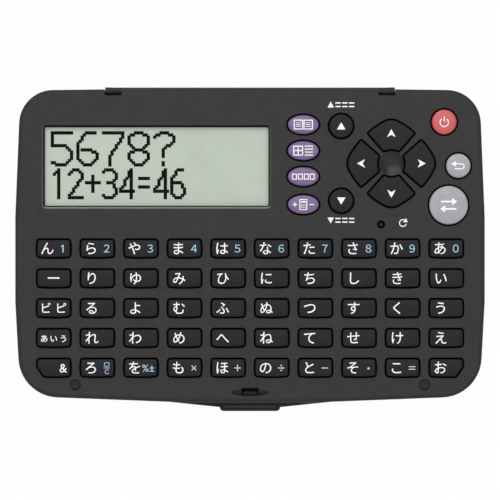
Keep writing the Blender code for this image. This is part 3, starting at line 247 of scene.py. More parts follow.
# Moulded materials: name, dark and light colour, patch and grain in mm, roughness,
# depth of the grain in mm and gloss
PLAIN_GLOSS = 0.5
PLASTICS = {
    "case": ("case_plastic", (38, 38, 39), (44, 44, 45), 2.2, 0.16, 0.6, 0.02, 0.22),
    # Darker, glossier copy of the case plastic for the hub's dish: the gloss is real, the darker
    # colour is painted shade
    "hub": ("hub_plastic", (36, 36, 37), (40, 40, 41), 2.2, 0.16, 0.2, 0.003, 0.12),
    # Lighter, glossier copy of the case plastic for the screen's rim and the ledge's edge: the
    # gloss is real, the lighter colour is a painted highlight
    "rim": ("rim_plastic", (46, 46, 47), (50, 50, 51), 2.2, 0.16, 0.2, 0.001, 0.58),
    # The tab's band: a lighter copy of the case plastic, painted light where the case's shadow
    # falls on the tab
    "tab": ("tab_plastic", (80, 80, 81), (88, 88, 89), 2.2, 0.16, 0.6, 0.02, 0.22),
    # Near-black plastic of the keys' flanges, darker than the keys: painted shade in the gaps
    # round the keys
    "carrier": ("key_carrier", (4, 4, 5), (9, 9, 10), 1.2, 0.14, 0.9, 0.01, 0.05),
    "key_dark": ("key_plastic", (23, 23, 25), (29, 29, 32), 1.6, 0.14, 0.52, 0.012, 0.14),
    "key_purple": ("purple_plastic", (110, 90, 130), (122, 101, 142), 1.3, 0.14, 0.45, 0.01,
                   0.35),
    "key_red": ("red_plastic", (190, 72, 72), (202, 84, 82), 1.3, 0.14, 0.42, 0.01,
                PLAIN_GLOSS),
    "key_grey": ("grey_plastic", (152, 152, 159), (164, 164, 170), 1.5, 0.14, 0.42, 0.01,
                 PLAIN_GLOSS),
    "display": ("display_glass", (182, 192, 177), (188, 198, 183), 6.0, 0.3, 0.4, 0.004, 0.3),
    "film": ("flex_film", (180, 120, 50), (210, 150, 70), 1.0, 0.1, 0.35, 0.01, PLAIN_GLOSS),
    "chip": ("chip_epoxy", (24, 24, 26), (36, 36, 38), 0.8, 0.1, 0.65, 0.02, PLAIN_GLOSS),
    "rubber": ("rubber", (26, 26, 28), (36, 36, 38), 0.8, 0.12, 0.8, 0.03, 0.3),
    "ink_white": ("ink_white", (243, 244, 246), (254, 254, 255), 0.6, 0.08, 0.5, 0.003,
                  PLAIN_GLOSS),
    "ink_blue": ("ink_blue", (156, 198, 222), (178, 216, 236), 0.6, 0.08, 0.5, 0.003,
                 PLAIN_GLOSS),
    "ink_black": ("ink_black", (2, 3, 3), (7, 8, 8), 1.0, 0.2, 0.6, 0.002, 0.05),
}
GRAIN_DETAIL = 2.0
GRAIN_STRENGTH = 0.35
GRAIN_SHARE = 0.06
BRUSH_DETAIL = 4.0
BRUSH_STRENGTH = 0.2
BRUSH_DEPTH = 0.01
BRUSH_SHARE = 0.07
NOISE_RANGE = (0.3, 0.7)
TRACK_DENSITY = 0.45
TRACK_EDGE = (0.05, 0.08)
TRACK_STRENGTH = 0.4
TRACK_DEPTH = 0.03
MASK_PATCH = 3.0
MASK_GRAIN = 0.6
MASK_ROUGHNESS = (0.28, 0.4)
DUST_PATCH = 2.5
DUST_SHARE = (0.002, 0.008)
WINDOW_PATCH = 1.2
WINDOW_ROUGHNESS = (0.08, 0.16)


# Colours, as they look on screen

def colour(red, green, blue):
    """Linear colour from screen values of 0 to 255."""
    def linear(value):
        value /= 255.0
        return value / 12.92 if value <= 0.04045 else ((value + 0.055) / 1.055) ** 2.4
    return (linear(red), linear(green), linear(blue), 1.0)


# Materials

def node(tree, kind, **values):
    """Add a shader node and set its sockets by name."""
    made = tree.nodes.new(kind)
    for name, value in values.items():
        made.inputs[name.replace("_", " ")].default_value = value
    return made


def noise(tree, size, detail=3.0, roughness=0.55):
    """Noise whose patches are about this many millimetres across."""
    place = tree.nodes.new("ShaderNodeTexCoord")
    made = node(tree, "ShaderNodeTexNoise", Scale=1.0 / (size * MM), Detail=detail,
                Roughness=roughness)
    tree.links.new(place.outputs["Object"], made.inputs["Vector"])
    return made.outputs["Fac"]


def spread(tree, value, low, high):
    """Turn a noise's usual range into the range from low to high."""
    made = node(tree, "ShaderNodeMapRange", From_Min=NOISE_RANGE[0], From_Max=NOISE_RANGE[1],
                To_Min=low, To_Max=high)
    tree.links.new(value, made.inputs["Value"])
    return made.outputs["Result"]


def feed(tree, socket, value):
    """Link a socket to another one, or set it to a value."""
    if isinstance(value, bpy.types.NodeSocket):
        tree.links.new(value, socket)
    else:
        socket.default_value = value


def mixed(tree, share, first, second):
    """Blend two colours by a share between 0 and 1."""
    made = tree.nodes.new("ShaderNodeMix")
    made.data_type = "RGBA"
    for name, value in (("Factor", share), ("A", first), ("B", second)):
        feed(tree, made.inputs[name], value)
    return made.outputs["Result"]


def coat(tree, shader, base, pattern, low, high):
    """Give a shader its colour, and a roughness that follows a pattern."""
    tree.links.new(base, shader.inputs["Base Color"])
    tree.links.new(spread(tree, pattern, low, high), shader.inputs["Roughness"])


def bump(tree, shader, height, strength, distance):
    """Rough up a shader's surface; the distance is in millimetres."""
    made = node(tree, "ShaderNodeBump", Strength=strength, Distance=distance * MM)
    tree.links.new(height, made.inputs["Height"])
    tree.links.new(made.outputs["Normal"], shader.inputs["Normal"])


def blank_material(name):
    """An empty material with its output and a Principled shader."""
    made = bpy.data.materials.new(name)
    made.use_nodes = True
    tree = made.node_tree
    tree.nodes.clear()
    shader = tree.nodes.new("ShaderNodeBsdfPrincipled")
    output = tree.nodes.new("ShaderNodeOutputMaterial")
    tree.links.new(shader.outputs["BSDF"], output.inputs["Surface"])
    return made, tree, shader


def moulded(name, dark, light, patch, grain, rough, depth, gloss):
    """Moulded plastic: soft mottle, a fine spark-eroded grain and uneven gloss."""
    made, tree, shader = blank_material(name)
    tint = spread(tree, noise(tree, patch), 0.0, 1.0)
    base = mixed(tree, tint, colour(*dark), colour(*light))
    fine = noise(tree, grain, GRAIN_DETAIL)
    coat(tree, shader, base, fine, rough - GRAIN_SHARE, rough + GRAIN_SHARE)
    bump(tree, shader, fine, GRAIN_STRENGTH, depth)
    shader.inputs["Specular IOR Level"].default_value = gloss
    return made


def metal(name, dark, light, rough, stretch):
    """Plated metal with fine brushed lines."""
    made, tree, shader = blank_material(name)
    place = tree.nodes.new("ShaderNodeTexCoord")
    aim = tree.nodes.new("ShaderNodeMapping")
    aim.inputs["Scale"].default_value = stretch
    brush = node(tree, "ShaderNodeTexNoise", Scale=1.0 / MM, Detail=BRUSH_DETAIL)
    tree.links.new(place.outputs["Object"], aim.inputs["Vector"])
    tree.links.new(aim.outputs["Vector"], brush.inputs["Vector"])
    lines = brush.outputs["Fac"]
    base = mixed(tree, spread(tree, lines, 0.0, 1.0), colour(*dark), colour(*light))
    coat(tree, shader, base, lines, rough - BRUSH_SHARE, rough + BRUSH_SHARE)
    shader.inputs["Metallic"].default_value = 1.0
    bump(tree, shader, lines, BRUSH_STRENGTH, BRUSH_DEPTH)
    return made


def circuit_board(name):
    """Green solder mask with copper tracks under it."""
    made, tree, shader = blank_material(name)
    place = tree.nodes.new("ShaderNodeTexCoord")
    tracks = node(tree, "ShaderNodeTexVoronoi", Scale=TRACK_DENSITY / MM)
    tracks.feature = "DISTANCE_TO_EDGE"
    tree.links.new(place.outputs["Object"], tracks.inputs["Vector"])
    line = node(tree, "ShaderNodeMapRange", From_Min=TRACK_EDGE[0], From_Max=TRACK_EDGE[1],
                To_Min=1.0, To_Max=0.0)
    tree.links.new(tracks.outputs["Distance"], line.inputs["Value"])
    mask = mixed(tree, spread(tree, noise(tree, MASK_PATCH), 0.0, 1.0),
                 colour(28, 84, 54), colour(38, 100, 64))
    base = mixed(tree, line.outputs["Result"], mask, colour(74, 140, 84))
    coat(tree, shader, base, noise(tree, MASK_GRAIN), *MASK_ROUGHNESS)
    bump(tree, shader, line.outputs["Result"], TRACK_STRENGTH, TRACK_DEPTH)
    return made


def clear_window(name):
    """Clear plastic: what is behind it shows, with a faint gloss and fine dust."""
    made, tree, shader = blank_material(name)
    output = next(item for item in tree.nodes if item.type == "OUTPUT_MATERIAL")
    clear = tree.nodes.new("ShaderNodeBsdfTransparent")
    blend = tree.nodes.new("ShaderNodeMixShader")
    share = spread(tree, noise(tree, DUST_PATCH), *DUST_SHARE)
    tree.links.new(share, blend.inputs["Fac"])
    tree.links.new(clear.outputs["BSDF"], blend.inputs[1])
    tree.links.new(shader.outputs["BSDF"], blend.inputs[2])
    tree.links.new(blend.outputs["Shader"], output.inputs["Surface"])
    tint = mixed(tree, share, colour(205, 212, 205), colour(220, 226, 220))
    coat(tree, shader, tint, noise(tree, WINDOW_PATCH), *WINDOW_ROUGHNESS)
    return made


def make_materials():
    """Every material of the part, under its slot's name or its own."""
    made = {slot: moulded(*values) for slot, values in PLASTICS.items()}
    made["steel"] = metal("steel_plate", (150, 150, 154), (190, 190, 194), 0.32,
                          (1.0, 12.0, 12.0))
    made["contact"] = metal("contact_plate", (176, 140, 76), (214, 178, 104), 0.3,
                            (12.0, 1.0, 12.0))
    made["board"] = circuit_board("solder_mask")
    made["window"] = clear_window("clear_plastic")
    return made


# Outlines

def mirrored(right_half):
    """Add the left half to corners that run from front to rear."""
    return right_half + [(-x, y, radius) for x, y, radius in reversed(right_half)]


def rounded(corners, turn_step=FINE_TURN):
    """List the points of an outline, with an arc at each corner."""
    points = []
    for index, (x, y, radius) in enumerate(corners):
        here = Vector((x, y))
        arriving = (here - Vector(corners[index - 1][:2])).normalized()
        leaving = (Vector(corners[(index + 1) % len(corners)][:2]) - here).normalized()
        if not radius:
            points.append((x, y))
            continue
        turn = math.atan2(arriving.cross(leaving), arriving.dot(leaving))
        side = math.copysign(radius, turn)
        start = here - arriving * radius * math.tan(abs(turn) / 2)
        centre = start + Vector((-arriving.y, arriving.x)) * side
        steps = max(2, round(abs(turn) / turn_step))
        for step in range(steps + 1):
            spoke = start - centre
            spoke.rotate(Matrix.Rotation(turn * step / steps, 2))
            points.append(tuple(centre + spoke))
    return points


def dense(points, longest):
    """Split the long sides of an outline, so that it can bend."""
    result = []
    for index, point in enumerate(points):
        here, after = Vector(point), Vector(points[(index + 1) % len(points)])
        parts = max(1, math.ceil((after - here).length / longest))
        result += [tuple(here.lerp(after, part / parts)) for part in range(parts)]
    return result


def offset(points, growth):
    """Move an outline outward, or inward when the growth is negative."""
    result = []
    for index, point in enumerate(points):
        here = Vector(point)
        arriving = (here - Vector(points[index - 1])).normalized()
        leaving = (Vector(points[(index + 1) % len(points)]) - here).normalized()
        outward = Vector((arriving.y + leaving.y, -arriving.x - leaving.x))
        result.append(tuple(here + outward * growth / (1.0 + arriving.dot(leaving))))
    return result


def moved(points, x, y):
    """Move an outline by a distance."""
    return [(spot_x + x, spot_y + y) for spot_x, spot_y in points]


def oval(half_x, half_y, sides=ROUND_SIDES):
    """The points of an ellipse."""
    turns = [2 * math.pi * index / sides for index in range(sides)]
    return [(half_x * math.cos(turn), half_y * math.sin(turn)) for turn in turns]


def rectangle(half_x, half_y, radius=0.0):
    """The points of a rectangle about the origin."""
    corners = [(-half_x, -half_y, radius), (half_x, -half_y, radius),
               (half_x, half_y, radius), (-half_x, half_y, radius)]
    return rounded(corners, COARSE_TURN)


def letter_key_outline(row, column):
    """A key with barrel sides and a bowed front; two front keys lose a corner."""
    corners = [(-KEY_HALF_X, -KEY_HALF_Y, KEY_CORNER), (KEY_HALF_X, -KEY_HALF_Y, KEY_CORNER),
               (KEY_HALF_X, KEY_HALF_Y, KEY_CORNER), (-KEY_HALF_X, KEY_HALF_Y, KEY_CORNER)]
    cut_x, cut_y = KEY_HALF_X - CORNER_CUT_X, CORNER_CUT_Y - KEY_HALF_Y
    last_row = row == len(KANA_ROWS) - 1
    if last_row and column == 0:
        corners[0:1] = [(-KEY_HALF_X, cut_y, KEY_CORNER), (-cut_x, -KEY_HALF_Y, KEY_CORNER)]
    if last_row and column == COLUMNS - 1:
        corners[1:2] = [(cut_x, -KEY_HALF_Y, KEY_CORNER), (KEY_HALF_X, cut_y, KEY_CORNER)]
    points = dense(rounded(corners, COARSE_TURN), OUTLINE_STEP)
    bent = []
    for x, y in points:
        bow = KEY_BOW * (x / KEY_HALF_X) ** 2 if y < 0 else 0.0
        bent.append((x * (1 - KEY_BARREL * (y / KEY_HALF_Y) ** 2), y * (1 - bow)))
    return bent


def cursor_outline(quarter):
    """One of the four cursor keys, turned by quarters about the hub.

    The outer edge is a tight arc at the tip between two wide arcs.
    """
    edge = []
    for index in range(PAD_ARC_STEPS + 1):
        turn = PAD_EDGE_TURN * (1 - 2 * index / PAD_ARC_STEPS)
        tip = max(-PAD_TIP_TURN, min(PAD_TIP_TURN, turn))
        x = PAD_TIP_RADIUS * math.sin(tip) + PAD_SIDE_RADIUS * (math.sin(turn) - math.sin(tip))
        drop = PAD_TIP_RADIUS * (1 - math.cos(tip)) + PAD_SIDE_RADIUS * (
            math.cos(tip) - math.cos(turn))
        radius = 0.0 if 0 < index < PAD_ARC_STEPS else PAD_CORNER
        edge.append((x, PAD_APEX - drop, radius))
    middle = PAD_HUB_GAP - PAD_HUB_BOW
    hub = [(-PAD_INNER_X, PAD_INNER_Y, PAD_HUB_CORNER), (-PAD_INNER_X / 2, middle, 0.0),
           (0.0, PAD_HUB_GAP, 0.0), (PAD_INNER_X / 2, middle, 0.0),
           (PAD_INNER_X, PAD_INNER_Y, PAD_HUB_CORNER)]
    points = offset(rounded(edge + hub, PAD_TURN), -PAD_SHRINK)
    spin = Matrix.Rotation(quarter * math.pi / 2, 2)
    return [tuple(spin @ Vector(point)) for point in points]


# Meshes

def skin(bm, loops, index=0):
    """Close a stack of vertex loops into a solid, and return its faces."""
    faces = [bm.faces.new(loops[0][::-1]), bm.faces.new(loops[-1])]
    for low, high in zip(loops, loops[1:]):
        for place, corner in enumerate(low):
            after = (place + 1) % len(low)
            faces.append(bm.faces.new((corner, low[after], high[after], high[place])))
    for face in faces:
        face.material_index = index
    return faces


def loft(bm, rings, index=0):
    """Skin a stack of outlines, each with its height, and close both ends."""
    return skin(bm, [[bm.verts.new((x, y, z)) for x, y in points] for points, z in rings],
                index)


def plate(bm, points, low, high, index=0):
    """An outline of even thickness."""
    return loft(bm, [(points, low), (points, high)], index)


def block(bm, low, high):
    """A box between two opposite corners."""
    points = [(low[0], low[1]), (high[0], low[1]), (high[0], high[1]), (low[0], high[1])]
    return plate(bm, points, low[2], high[2])


def both_sides(bm, inner_x, outer_x, y, z):
    """Two boxes, left and right, between pairs of limits along Y and Z."""
    for side in (-1, 1):
        left, right = sorted((side * inner_x, side * outer_x))
        block(bm, (left, y[0], z[0]), (right, y[1], z[1]))


def rod(bm, y, z, radius, half, sides=32):
    """A round bar along X."""
    turn = Matrix.Translation((0.0, y, z)) @ Matrix.Rotation(math.pi / 2, 4, "Y")
    bmesh.ops.create_cone(bm, cap_ends=True, segments=sides, radius1=radius, radius2=radius,
                          depth=2 * half, matrix=turn)


def extruded(bm, outline, half, index=0):
    """An outline in Y and Z, extended to both sides along X."""
    skin(bm, [[bm.verts.new((x, y, z)) for y, z in outline] for x in (-half, half)], index)


def softened(points, low, high, edge, drop, steps=EDGE_STEPS):
    """Rings of a solid whose upper edge is rounded."""
    rings = [(points, low)]
    for step in range(steps + 1):
        turn = math.pi / 2 * step / steps
        inset = edge * (1 - math.cos(turn))
        rings.append((offset(points, -inset), high - drop * (1 - math.sin(turn))))
    return rings


def pillow(points, low, high, edge, steps=4):
    """Rings of a slab whose lower and upper edges are both rounded."""
    rings = []
    for step in range(steps + 1):
        turn = math.pi / 2 * (1 - step / steps)
        rings.append((offset(points, edge * (math.cos(turn) - 1)),
                      low + edge * (1 - math.sin(turn))))
    return rings + softened(points, high - edge, high, edge, edge, steps)[1:]


def flared(points, low):
    """Rings of a cutter that leaves a fine rounded edge round an opening."""
    return [(points, low)] + [(offset(points, growth), CASE_TOP_Z + rise)
                              for growth, rise in MOUTH]


def one_mesh(draw):
    """The mesh that a drawing function fills."""
    bm = bmesh.new()
    draw(bm)
    return bm


def finish_mesh(name, bm, materials):
    """Make an object in metres from a mesh in millimetres."""
    bmesh.ops.recalc_face_normals(bm, faces=bm.faces)
    bmesh.ops.scale(bm, vec=(MM, MM, MM), verts=bm.verts)
    mesh = bpy.data.meshes.new(name)
    bm.to_mesh(mesh)
    bm.free()
    for material in materials:
        mesh.materials.append(material)
    made = bpy.data.objects.new(name, mesh)
    bpy.context.scene.collection.objects.link(made)
    return made


def even_normals(obj):
    """Let large faces lead the shading, so that they look flat beside soft edges."""
    even = obj.modifiers.new("even_normals", "WEIGHTED_NORMAL")
    even.keep_sharp = True


def shade(obj):
    """Smooth shading that keeps flat faces flat and true corners sharp."""
    obj.data.polygons.foreach_set("use_smooth", [True] * len(obj.data.polygons))
    obj.data.set_sharp_from_angle(angle=SHARP_TURN)
    even_normals(obj)


def keep_flat(obj):
    """Part the large flat faces from the soft edges beside them, so that they look flat."""
    mesh = obj.data
    beside = {}
    for face in mesh.polygons:
        for ends in face.edge_keys:
            beside.setdefault(ends, []).append(face)
    for edge in mesh.edges:
        faces = beside[edge.key]
        large = max(face.area for face in faces) > LARGE_FACE * MM * MM
        if large and faces[0].normal.dot(faces[-1].normal) < COPLANAR:
            edge.use_edge_sharp = True


def cut(obj, draw, operation="DIFFERENCE"):
    """Apply a Boolean with a drawn shape that is thrown away afterwards."""
    tool = finish_mesh(obj.name + "_tool", one_mesh(draw), obj.data.materials)
    step = obj.modifiers.new("cut", "BOOLEAN")
    step.object = tool
    step.operation = operation
    step.solver = "EXACT"
    graph = bpy.context.evaluated_depsgraph_get()
    result = bpy.data.meshes.new_from_object(obj.evaluated_get(graph))
    obj.modifiers.clear()
    old, obj.data = obj.data, result
    bpy.data.meshes.remove(old)
    tool_mesh = tool.data
    bpy.data.objects.remove(tool)
    bpy.data.meshes.remove(tool_mesh)


def dress(obj, body, slot, *nodes):
    """Let a piece ride its body and hide the nodes it stands for; its slot is not used."""
    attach(obj, body)
    if nodes:
        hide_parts(*nodes)


# Keys

def key(name, xs, y, outlines, slot, lap=FLANGE_LAP, top=KEY_TOP_Z - INK, edge=KEY_EDGE,
        drop=KEY_EDGE_DROP, crown=KEY_CROWN):
    """One key: an outline for each of its caps, and the caps' places along X."""
    caps = [moved(outline, x, y) for x, outline in zip(xs, outlines)]
    return {"name": name, "xs": xs, "y": y, "caps": caps, "slot": slot, "lap": lap,
            "top": top, "edge": edge, "drop": drop, "crown": crown,
            "spots": [extent(cap) for cap in caps]}


def extent(points):
    """The middle of an outline and its half sizes."""
    xs, ys = zip(*points)
    return ((min(xs) + max(xs)) / 2, (min(ys) + max(ys)) / 2, (max(xs) - min(xs)) / 2,
            (max(ys) - min(ys)) / 2)


def crown_drop(item, x, y):
    """How far the top of a key's nearest cap lies under its crest at a place."""
    middle_x, middle_y, half_x, half_y = min(item["spots"], key=lambda spot: abs(x - spot[0]))
    return item["crown"] * (CROWN_SHARE_X * ((x - middle_x) / half_x) ** 2
                            + ((y - middle_y) / half_y) ** 2)


def scaled(points, share):
    """Shrink an outline about its middle."""
    middle_x, middle_y = extent(points)[:2]
    return [(middle_x + (x - middle_x) * share, middle_y + (y - middle_y) * share)
            for x, y in points]


def column_x(column):
    """Middle of a column of the key block."""
    return (column - (COLUMNS - 1) / 2) * PITCH_X


def control_keys():
    """The keys beside the display."""
    keys = [key(f"mode_key_{index + 1}", [MODE_X], y, [oval(MODE_HALF_X, MODE_HALF_Y)],
                "key_purple", PAD_FLANGE_LAP, **MODE_TOP)
            for index, y in enumerate(MODE_ROWS)]
    scroll = oval(SCROLL_RADIUS, SCROLL_RADIUS)
    for name, y in zip(("scroll_up_key", "scroll_down_key"), SCROLL_ROWS):
        keys.append(key(name, [SCROLL_X], y, [scroll], "key_dark"))
    for quarter, side in enumerate(SIDES):
        keys.append(key(f"cursor_{side}_key", [PAD_X], PAD_Y, [cursor_outline(quarter)],
                        "key_dark", PAD_FLANGE_LAP, edge=PAD_EDGE, crown=PAD_CROWN))
    for name, slot, (x, y, radius) in (("power_key", "key_red", POWER_KEY),
                                       ("back_key", "key_grey", BACK_KEY),
                                       ("enter_key", "key_grey", ENTER_KEY)):
        keys.append(key(name, [x], y, [oval(radius, radius)], slot, **ROUND_TOP))
    x, y, radius = RESET_KEY
    keys.append(key("reset_button", [x], y, [oval(radius, radius, RESET_SIDES)], "key_dark",
                    **RESET_TOP))
    return keys


def block_keys():
    """The five rows of letter keys; the three middle rows are one moulding each."""
    places = [column_x(column) for column in range(COLUMNS)]
    last_row = len(KANA_ROWS) - 1
    keys = [key(name, places, FIRST_ROW_Y - row * PITCH_Y,
                [letter_key_outline(row, column) for column in range(COLUMNS)], "key_dark")
            for row, name in ((1, "kana_row_rear"), (2, "kana_row_middle"),
                              (3, "kana_row_front"))]
    for column, x in enumerate(places):
        keys.append(key(f"digit_key_{(column + 1) % 10}", [x], FIRST_ROW_Y,
                        [letter_key_outline(0, column)], "key_dark"))
    last = ("symbol", "clear", "percent", "times", "plus", "divide", "minus", "point",
            "equals", "vowel")
    for column, name in enumerate(last):
        keys.append(key(f"{name}_key", [places[column]], FIRST_ROW_Y - last_row * PITCH_Y,
                        [letter_key_outline(last_row, column)], "key_dark"))
    return keys


def draw_caps(bm, item):
    """Draw the caps of one key, each with its flange."""
    for spot in item["caps"]:
        wide = offset(spot, item["lap"])
        cap = softened(offset(spot, -CAP_INSET), FLANGE_TOP_Z, item["top"], item["edge"],
                       item["drop"])
        cap += [(scaled(cap[-1][0], share), item["top"]) for share in CROWN_RINGS]
        for face in loft(bm, [(wide, FLANGE_LOW_Z), (wide, FLANGE_TOP_Z)] + cap):
            # Flange faces take the near-black carrier plastic, painted shade in the gap round the
            # cap
            if max(corner.co.z for corner in face.verts) < FLANGE_TOP_Z + INK:
                face.material_index = CARRIER
    for corner in bm.verts:
        if corner.co.z > FLANGE_TOP_Z + INK:
            corner.co.z -= crown_drop(item, corner.co.x, corner.co.y)


def build_key(item, materials):
    """One key, whose caps stand on a web if it is a row."""
    made = finish_mesh(item["name"] + "_cap", one_mesh(lambda bm: draw_caps(bm, item)),
                       [materials[item["slot"]], materials["carrier"]])
    if len(item["xs"]) > 1:
        reach = item["xs"][-1]
        cut(made, lambda bm: block(
            bm, (-reach, item["y"] - WEB_HALF_Y, FLANGE_LOW_Z + WEB_INSET),
            (reach, item["y"] + WEB_HALF_Y, FLANGE_TOP_Z - WEB_INSET)), "UNION")
    shade(made)
    dress(made, item["name"], item["slot"], item["name"])


# Case

def case_solid(bm):
    """The outer form of the face shell, down to the line where the shells meet."""
    loft(bm, softened(rounded(mirrored(CASE_RIGHT)), CASE_AXIS_Z + PARTING_GAP / 2,
                      CASE_TOP_Z, CASE_EDGE, CASE_EDGE))


def hollow_tool(bm):
    """The hollow inside the case."""
    inner = offset(rounded(mirrored(CASE_RIGHT)), -SHELL_WALL)
    plate(bm, inner, CASE_AXIS_Z - CUT_REACH, CASE_CEILING_Z)


def hinge_wall(bm):
    """The wall behind the hinge, with a block at each end for the pin."""
    half = NOTCH_OUTER_X + HINGE_BLOCK
    block(bm, (-half, NOTCH_Y - SHELL_WALL, CASE_AXIS_Z + PARTING_GAP / 2),
          (half, NOTCH_Y + SHELL_WALL / 2, CASE_CEILING_Z + LAP))


def groove_tool(bm):
    """The groove along the rear of the case that the link's barrel turns in."""
    half_x = NOTCH_INNER_X + LAP
    block(bm, (-half_x, NOTCH_Y, CASE_AXIS_Z - GROOVE_HALF_Z),
          (half_x, HINGE_Y + CUT_REACH, CASE_AXIS_Z + GROOVE_HALF_Z))


def notch_tool(bm):
    """The two notches for the link's arms and the cover's heels."""
    both_sides(bm, NOTCH_INNER_X, NOTCH_OUTER_X, (NOTCH_Y, HINGE_Y + CUT_REACH),
               (CASE_BOTTOM_Z - CUT_REACH, CASE_TOP_Z + CUT_REACH))


def pin_hole_tool(bm):
    """The holes for the pin's ends."""
    rod(bm, HINGE_Y, CASE_AXIS_Z, PIN_HOLE_RADIUS, PIN_HOLE_HALF, PIN_HOLE_SIDES)


def pin_cover(bm):
    """A thin tongue at each end that hides the pin behind the parting line."""
    both_sides(bm, NOTCH_OUTER_X + PARTING_GAP, PIN_HOLE_HALF + PARTING_GAP, PIN_COVER_Y,
               (CASE_AXIS_Z - PIN_COVER_DROP, CASE_AXIS_Z + PARTING_GAP))


def opening_tool(bm, keys):
    """Every opening through the face, each with a fine rounded edge."""
    low = CASE_CEILING_Z - CUT_REACH
    screen = moved(rectangle(SCREEN_HALF_X, SCREEN_HALF_Y, SCREEN_CORNER), SCREEN_X, SCREEN_Y)
    inner = offset(screen, -SCREEN_SLOPE)
    rim_z = CASE_TOP_Z - SCREEN_RIM_DROP
    rim = moved(offset(screen, SCREEN_RIM - SCREEN_RIM_INSET), 0.0, -SCREEN_RIM_SHIFT)
    for face in loft(bm, [(inner, low), (inner, CASE_TOP_Z - WINDOW_LIP + FINE_LAP),
                          (offset(screen, -SCREEN_SHOULDER), rim_z - SCREEN_SHOULDER_DROP),
                          (offset(screen, -SCREEN_RIM_INSET), rim_z), (rim, CASE_TOP_Z),
                          (offset(rim, SCREEN_MOUTH), CASE_TOP_Z + SCREEN_MOUTH_RISE)]):
        heights = [corner.co.z for corner in face.verts]
        # Faces of the screen's rim take the lighter rim plastic, a painted highlight, wider at the
        # front
        if min(heights) > rim_z - INK and max(heights) < CASE_TOP_Z + INK:
            face.material_index = FACE_LOOKS.index("rim")
    for item in keys:
        for spot in item["caps"]:
            loft(bm, flared(offset(spot, KEY_CLEARANCE), low))
    slot = rectangle(SLOT_HALF, (SLOT_REAR_Y - LEDGE_REAR_Y) / 2, SLOT_CORNER)
    loft(bm, flared(moved(slot, 0.0, (SLOT_REAR_Y + LEDGE_REAR_Y) / 2), low))


def recess_tool(bm):
    """The room over the catch's ledge and the seats of the two stop pads."""
    block(bm, (-SLOT_HALF, SLOT_FRONT_Y, LEDGE_TOP_Z),
          (SLOT_HALF, LEDGE_REAR_Y + LEDGE_LAP, CASE_TOP_Z + CUT_REACH))
    seat = oval(STOP_SEAT_RADIUS, STOP_SEAT_RADIUS, STOP_SIDES)
    for x in (-STOP_X, STOP_X):
        loft(bm, flared(moved(seat, x, STOP_Y), CASE_TOP_Z - STOP_SINK))


def scoop_tool(bm):
    """The lens on both sides of the latch slot; its floor falls towards the front."""
    middle_y = (SLOT_REAR_Y + SLOT_FRONT_Y) / 2
    floor, lid = [], []
    for x, y in moved(oval(SCOOP_HALF, SCOOP_HALF_DEPTH), 0.0, middle_y):
        fall = (1.0 - (y - middle_y) / SCOOP_HALF_DEPTH) / 2
        floor.append(bm.verts.new((x, y, CASE_TOP_Z - SCOOP_SINK * fall + SCOOP_LIFT)))
        lid.append(bm.verts.new((x, y, CASE_TOP_Z + CUT_REACH)))
    skin(bm, [floor, lid])


def ledge_edge_tool(bm):
    """The bevelled rear edge of the catch's ledge, which catches the light; its faces take the
    lighter rim plastic, a painted highlight.
    """
    start_y, end_y = LEDGE_REAR_Y - LEDGE_BEVEL, LEDGE_REAR_Y + FINE_LAP
    extruded(bm, [(start_y, LEDGE_TOP_Z), (end_y, LEDGE_TOP_Z - LEDGE_BEVEL_DROP),
                  (end_y, LEDGE_TOP_Z + LEDGE_CUT), (start_y, LEDGE_TOP_Z + LEDGE_CUT)],
             SLOT_HALF, FACE_LOOKS.index("rim"))


def tooth_tool(bm):
    """The slits on both sides of the catch's tooth."""
    both_sides(bm, TOOTH_HALF, SLOT_HALF + SLIT_LAP,
               (TOOTH_SLIT_FRONT_Y, SLOT_REAR_Y - SLIT_REAR_GAP),
               (TOOTH_SLIT_Z, CASE_TOP_Z + CUT_REACH))


def hub_tool(bm):
    """The shallow dish in the middle of the cursor keys, in the darker hub plastic as painted
    shade.
    """
    loft(bm, [(moved(oval(HUB_RADIUS * share, HUB_RADIUS * share), PAD_X, PAD_Y),
               CASE_TOP_Z - HUB_SINK * (1.0 - share ** 2)) for share in HUB_SHARES],
         FACE_LOOKS.index("hub"))


def pocket_tool(bm):
    """The window's seat and the room for the hook, from inside."""
    low = CASE_CEILING_Z - CUT_REACH
    seat = moved(rectangle(SEAT_HALF_X, SEAT_HALF_Y), SCREEN_X, SCREEN_Y)
    plate(bm, seat, low, CASE_TOP_Z - WINDOW_LIP)
    block(bm, (-SLOT_HALF, SLOT_FRONT_Y, low),
          (SLOT_HALF, LEDGE_REAR_Y + LEDGE_LAP, LEDGE_TOP_Z - LEDGE_THICKNESS))


def build_face(keys, materials):
    """The face shell of the case."""
    made = finish_mesh("face_shell", one_mesh(case_solid),
                       [materials[look] for look in FACE_LOOKS])
    cut(made, hollow_tool)
    cut(made, hinge_wall, "UNION")
    for tool in (groove_tool, notch_tool, pin_hole_tool):
        cut(made, tool)
    cut(made, pin_cover, "UNION")
    for tool in (hub_tool, scoop_tool, lambda bm: opening_tool(bm, keys), recess_tool,
                 ledge_edge_tool, tooth_tool, pocket_tool):
        cut(made, tool)
    shade(made)
    dress(made, "case", "case", "top_case")


# Cover

LID_RIM_Z = 1.7
LID_INNER_Z = 2.7
LID_OUTER_Z = 3.7
LID_AXIS_Z = 2.7
LID_EDGE = 0.4
LID_HOLLOW = 1.5
LID_RIGHT = [(7.1, -38.075, 0.9), (7.1, -37.15, 0.0), (21.0, -35.7, 0.0),
             (53.51, -34.06, 9.2), (54.7, -12.3, 0.0), (54.7, 7.7, 0.0),
             (53.51, 37.0, 7.7), (15.0, 37.45, 0.0)]
APRON_RIGHT = [(7.05, -38.025, 0.9), (7.05, -36.3, 0.0)]
APRON_TOP_Z = 3.2
APRON_EDGE = 0.25
TAB_DIP = (6.0, -36.0, 0.3)
